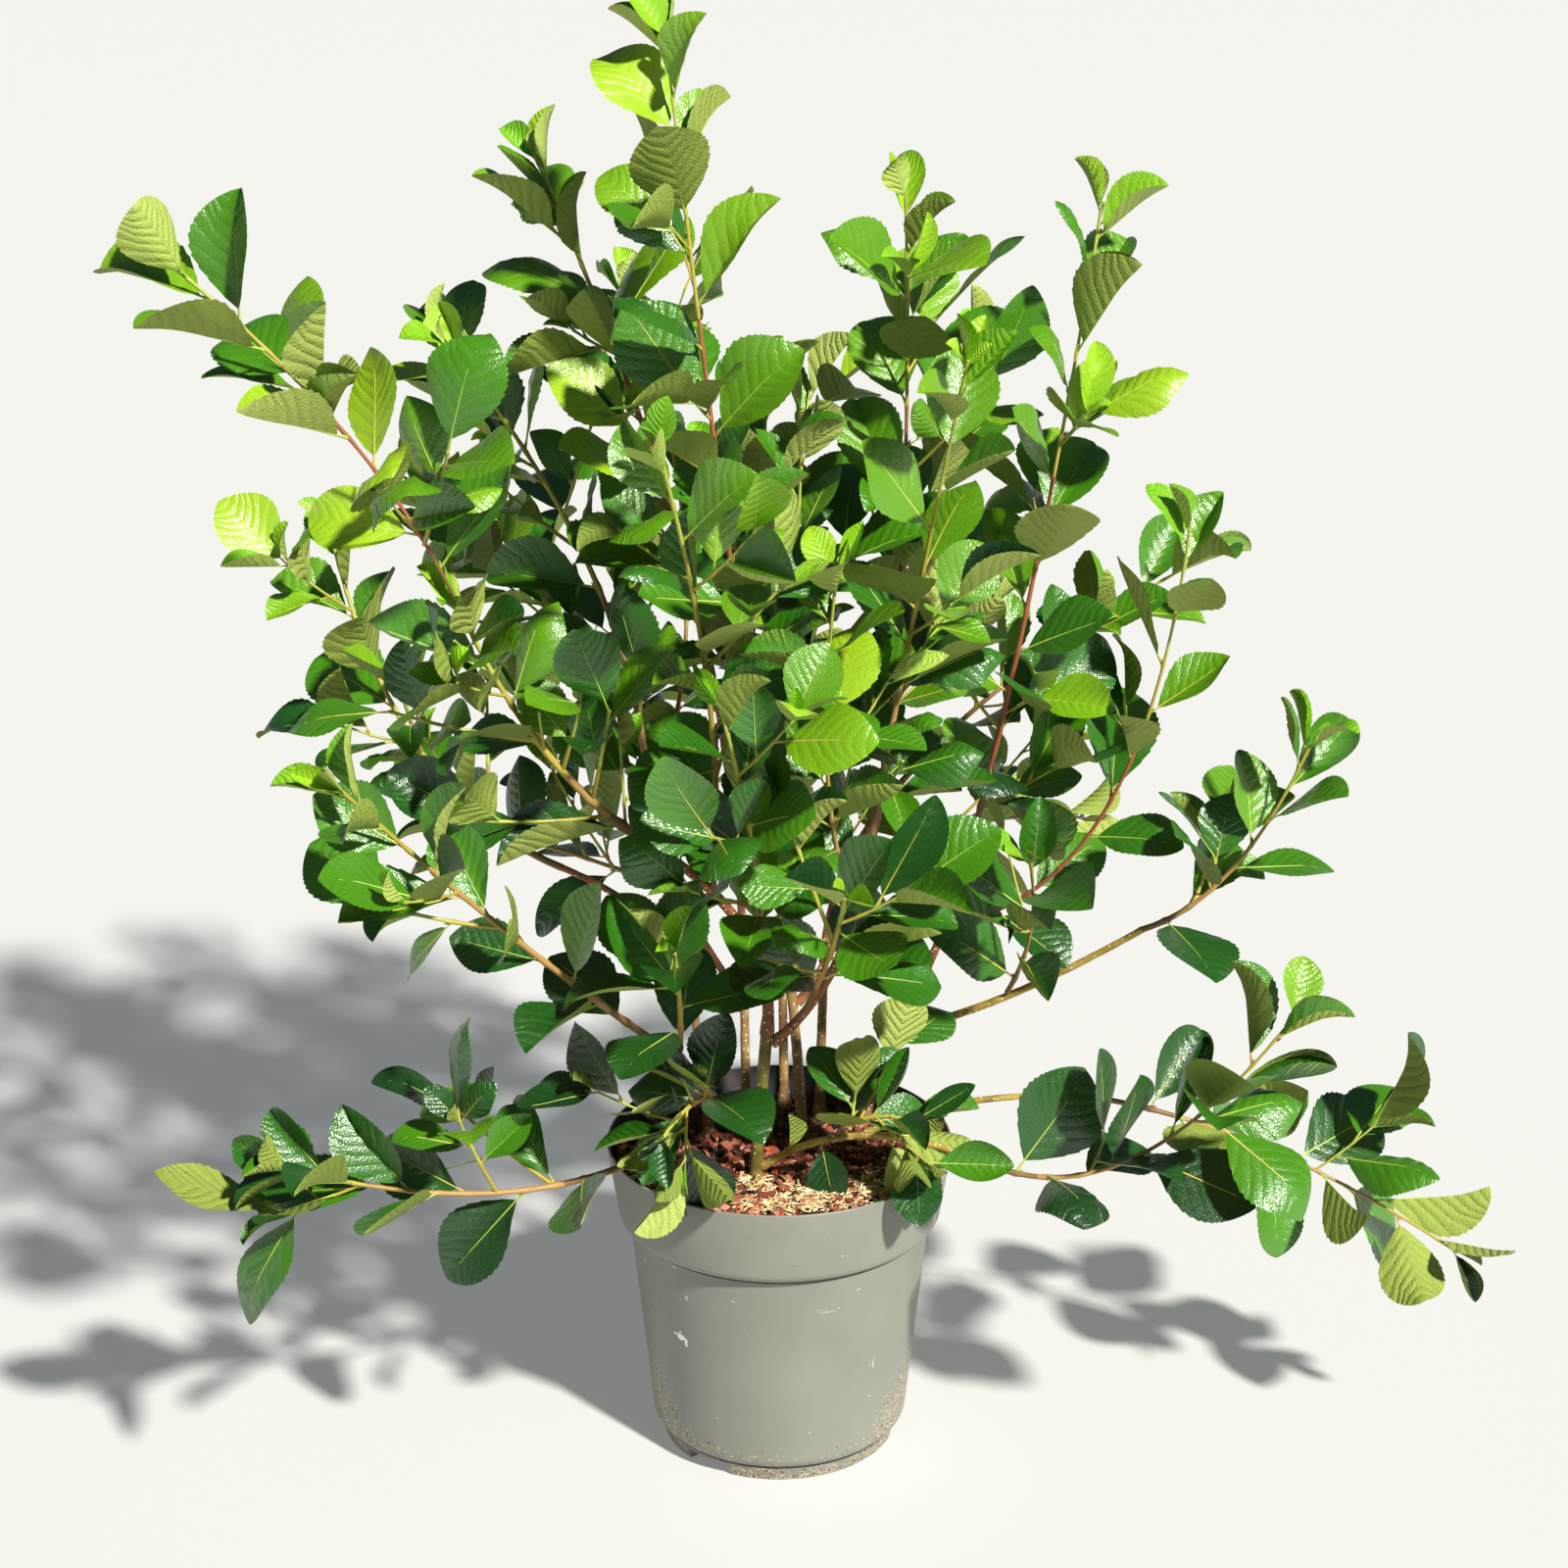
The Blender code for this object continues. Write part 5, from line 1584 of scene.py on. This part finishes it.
def hanging_leaf(limb, share, along, length, rng):
    """A leaf straight off a bough, with its upper side to the light."""
    along = Vector(along).normalized()
    draw = leaf_draw(rng)
    return {
        "foot": limb.at(share),
        "along": along,
        "up": (LIGHT - along * LIGHT.dot(along)).normalized(),
        "length": length,
        "share": share,
        "young": 0.0,
        **{key: draw[key] for key in ("breadth", "fold", "droop")},
    }


# Leaves straight off the low boughs: share of the bough's length, direction and length
HANGING = (
    ("foliage_pot_right", "bough_low_right", 0.30, (0.20, -0.62, -0.75), 0.052),
    ("foliage_pot_right", "bough_low_right", 0.62, (0.35, -0.50, -0.60), 0.066),
    ("foliage_pot_left", "bough_low_left", 0.55, (-0.30, -0.75, -0.60), 0.070),
    ("foliage_pot_right", "bough_low_right", 0.13, (-0.05, -0.25, 1.00), 0.038),
)
rng = random.Random("hanging leaves")
for name, bough, share, along, length in HANGING:
    masses[name].append((limbs[bough], [hanging_leaf(limbs[bough], share, along, length, rng)]))

for stage in ("grown", "spur", "tuft"):
    for name, shoots in masses.items():
        rng = random.Random(f"{name} {stage}")
        for shoot, leaves in shoots:
            if stage != "tuft" and ("_spur_" in shoot.name) == (stage == "spur"):
                leaves[:] = [leaf for leaf in leaves if shaped(leaf, shoot, rng)]
            if stage == "tuft" and "foliage" in shoot.name:
                if shoot.name == name or rng.random() < TUFTED:
                    leaves += [leaf for leaf in tuft_of(shoot, rng) if shaped(leaf, shoot, rng)]

# Painted shade and light: a grown leaf's green is deeper low down and near the middle, lighter high and out
DARKEST = 0.8
LIGHTER = 3.8
SCATTER = 1.1
HEIGHT_SHARE = 0.8
LIT_FROM = 0.35
LIT_HEIGHT = 0.6
REACH_SHARE = 0.38
LIT_BEYOND = 0.12
LIT_REACH = 0.3

# Leaves younger than this and higher than this are lime, and this share of the buds is green
LIME_YOUNG = 0.75
LIME_ABOVE = 0.52
GREEN_BUDS = 0.6


def painted_shade_tone(leaf, rng):
    """The number of a grown leaf's upper finish, deeper low and inside the crown as painted shade."""
    outward = math.hypot(leaf["foot"].x, leaf["foot"].y)
    lit = HEIGHT_SHARE * (leaf["foot"].z - LIT_FROM) / LIT_HEIGHT
    lit += REACH_SHARE * (outward - LIT_BEYOND) / LIT_REACH
    tone = rng.gauss(DARKEST + LIGHTER * min(1.0, max(0.0, lit)), SCATTER)
    return min(FIRST_YOUNG - 1, max(0, round(tone)))


def bark_colours(member, main):
    """The colours of a shoot from its foot to its tip."""
    if not main:
        return (YELLOW_GREEN, NEW_GREEN)
    if member.endswith(("skirt", "low", "reach", "inner")):
        return (OLD_WOOD, STRAW, STRAW, STRAW, YELLOW_GREEN)
    if member in TANNED_TOPS:
        return (OLD_WOOD, TANNED, TANNED, TANNED, YELLOW_GREEN, NEW_GREEN)
    return (OLD_WOOD, STRAW, YELLOW_GREEN, YELLOW_GREEN, NEW_GREEN)


for area, members in AREAS.items():
    blades, ribs, skins = Pieces(), Pieces(), Pieces()
    for member in members:
        name = "foliage_" + member
        rng = random.Random(name + " finish")
        for shoot, leaves in masses[name]:
            if "foliage" in shoot.name:
                skins.gather(*shoot_skin(shoot, leaves, bark_colours(member, shoot.name == name)))
            for leaf in leaves:
                if leaf["share"] < TUFT_FROM:
                    bud_finish = BUD_GREEN if rng.random() < GREEN_BUDS else TANNED
                    skins.gather(*bud_at(leaf, shoot), bud_finish)
                if leaf["young"] > LIME_YOUNG and leaf["foot"].z > LIME_ABOVE:
                    above = FIRST_YOUNG + rng.randrange(len(young_colours))
                    below = YOUNG_UNDER
                else:
                    above = painted_shade_tone(leaf, rng)
                    below = FIRST_UNDER + rng.randrange(len(under_colours))
                finishes = [above] * FACES_ABOVE + [below] * FACES_ABOVE
                blades.gather(leaf["points"], blade_faces, finishes, blade_places)
                ribs.gather(*midrib_of(leaf["points"], leaf), rng.randrange(len(rib_finishes)))
    leaf_piece = blades.joined(f"leaves_{area}", leaf_finishes, 70)
    rib_piece = ribs.joined(f"leaf_stalks_{area}", rib_finishes, 60)
    twig_piece = skins.joined(f"twigs_{area}", shoot_finishes, 60)
    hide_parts(*("foliage_" + member for member in members))
    for piece in (leaf_piece, rib_piece, twig_piece):
        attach(piece, "root")

# The studio is a wide pale floor that glows faintly, under a sky that is pale at the horizon and dim above,
# with one sun lamp high in front on the right. The camera stands where the photograph was taken from.
bpy.ops.object.select_all(action="DESELECT")
bpy.ops.mesh.primitive_plane_add(size=60)
floor = bpy.context.object
floor.name = "studio_floor"
PAPER_GRAIN = 0.0033
pale_paper = finish_of("pale_paper", "#bcbcbb", 0.9)
pale_shader = pale_paper.node_tree.nodes["Principled BSDF"]
pale_shader.inputs["Emission Color"].default_value = linear("#f4f4f2")
pale_shader.inputs["Emission Strength"].default_value = 0.20
grained(pale_paper, PAPER_GRAIN, 2.0, 0.05, 0.0005)
floor.data.materials.append(pale_paper)

# The key lamp stands far off, so that it lights the whole floor evenly
KEY_AZIMUTH = math.radians(38)
KEY_ELEVATION = math.radians(43)
toward_key = Vector(
    (
        math.sin(KEY_AZIMUTH) * math.cos(KEY_ELEVATION),
        -math.cos(KEY_AZIMUTH) * math.cos(KEY_ELEVATION),
        math.sin(KEY_ELEVATION),
    )
)
lamp_turn = toward_key.to_track_quat("Z", "Y").to_euler()
bpy.ops.object.light_add(type="SUN", location=toward_key * 6, rotation=lamp_turn)
key = bpy.context.object
key.name = "key_lamp"
key.data.energy = 6.5
key.data.angle = math.radians(3.5)
key.data.color = (1.0, 0.97, 0.90)

sky = bpy.data.worlds.new("studio_sky")
sky.use_nodes = True
direction = add(sky, "TexCoord").outputs["Generated"]
upward = add(sky, "SeparateXYZ", {"Vector": direction}).outputs["Z"]
sky_tone = add(sky, "ValToRGB", {"Fac": upward})
pale, dim = sky_tone.color_ramp.elements
pale.position = 0.03
pale.color = (0.80, 0.82, 0.84, 1.0)
dim.position = 0.20
dim.color = (0.040, 0.068, 0.095, 1.0)
background = sky.node_tree.nodes["Background"]
sky.node_tree.links.new(sky_tone.outputs["Color"], background.inputs["Color"])
bpy.context.scene.world = sky
bpy.context.scene.view_settings.view_transform = "Standard"

camera_data = bpy.data.cameras.new("camera")
camera_data.lens = 72
camera_data.sensor_width = 36
camera = bpy.data.objects.new("camera", camera_data)
camera.location = (0.004, -2.47, 1.48)
camera.rotation_euler = (math.radians(90 - 19.5), 0, 0)
bpy.context.scene.collection.objects.link(camera)
bpy.context.scene.camera = camera
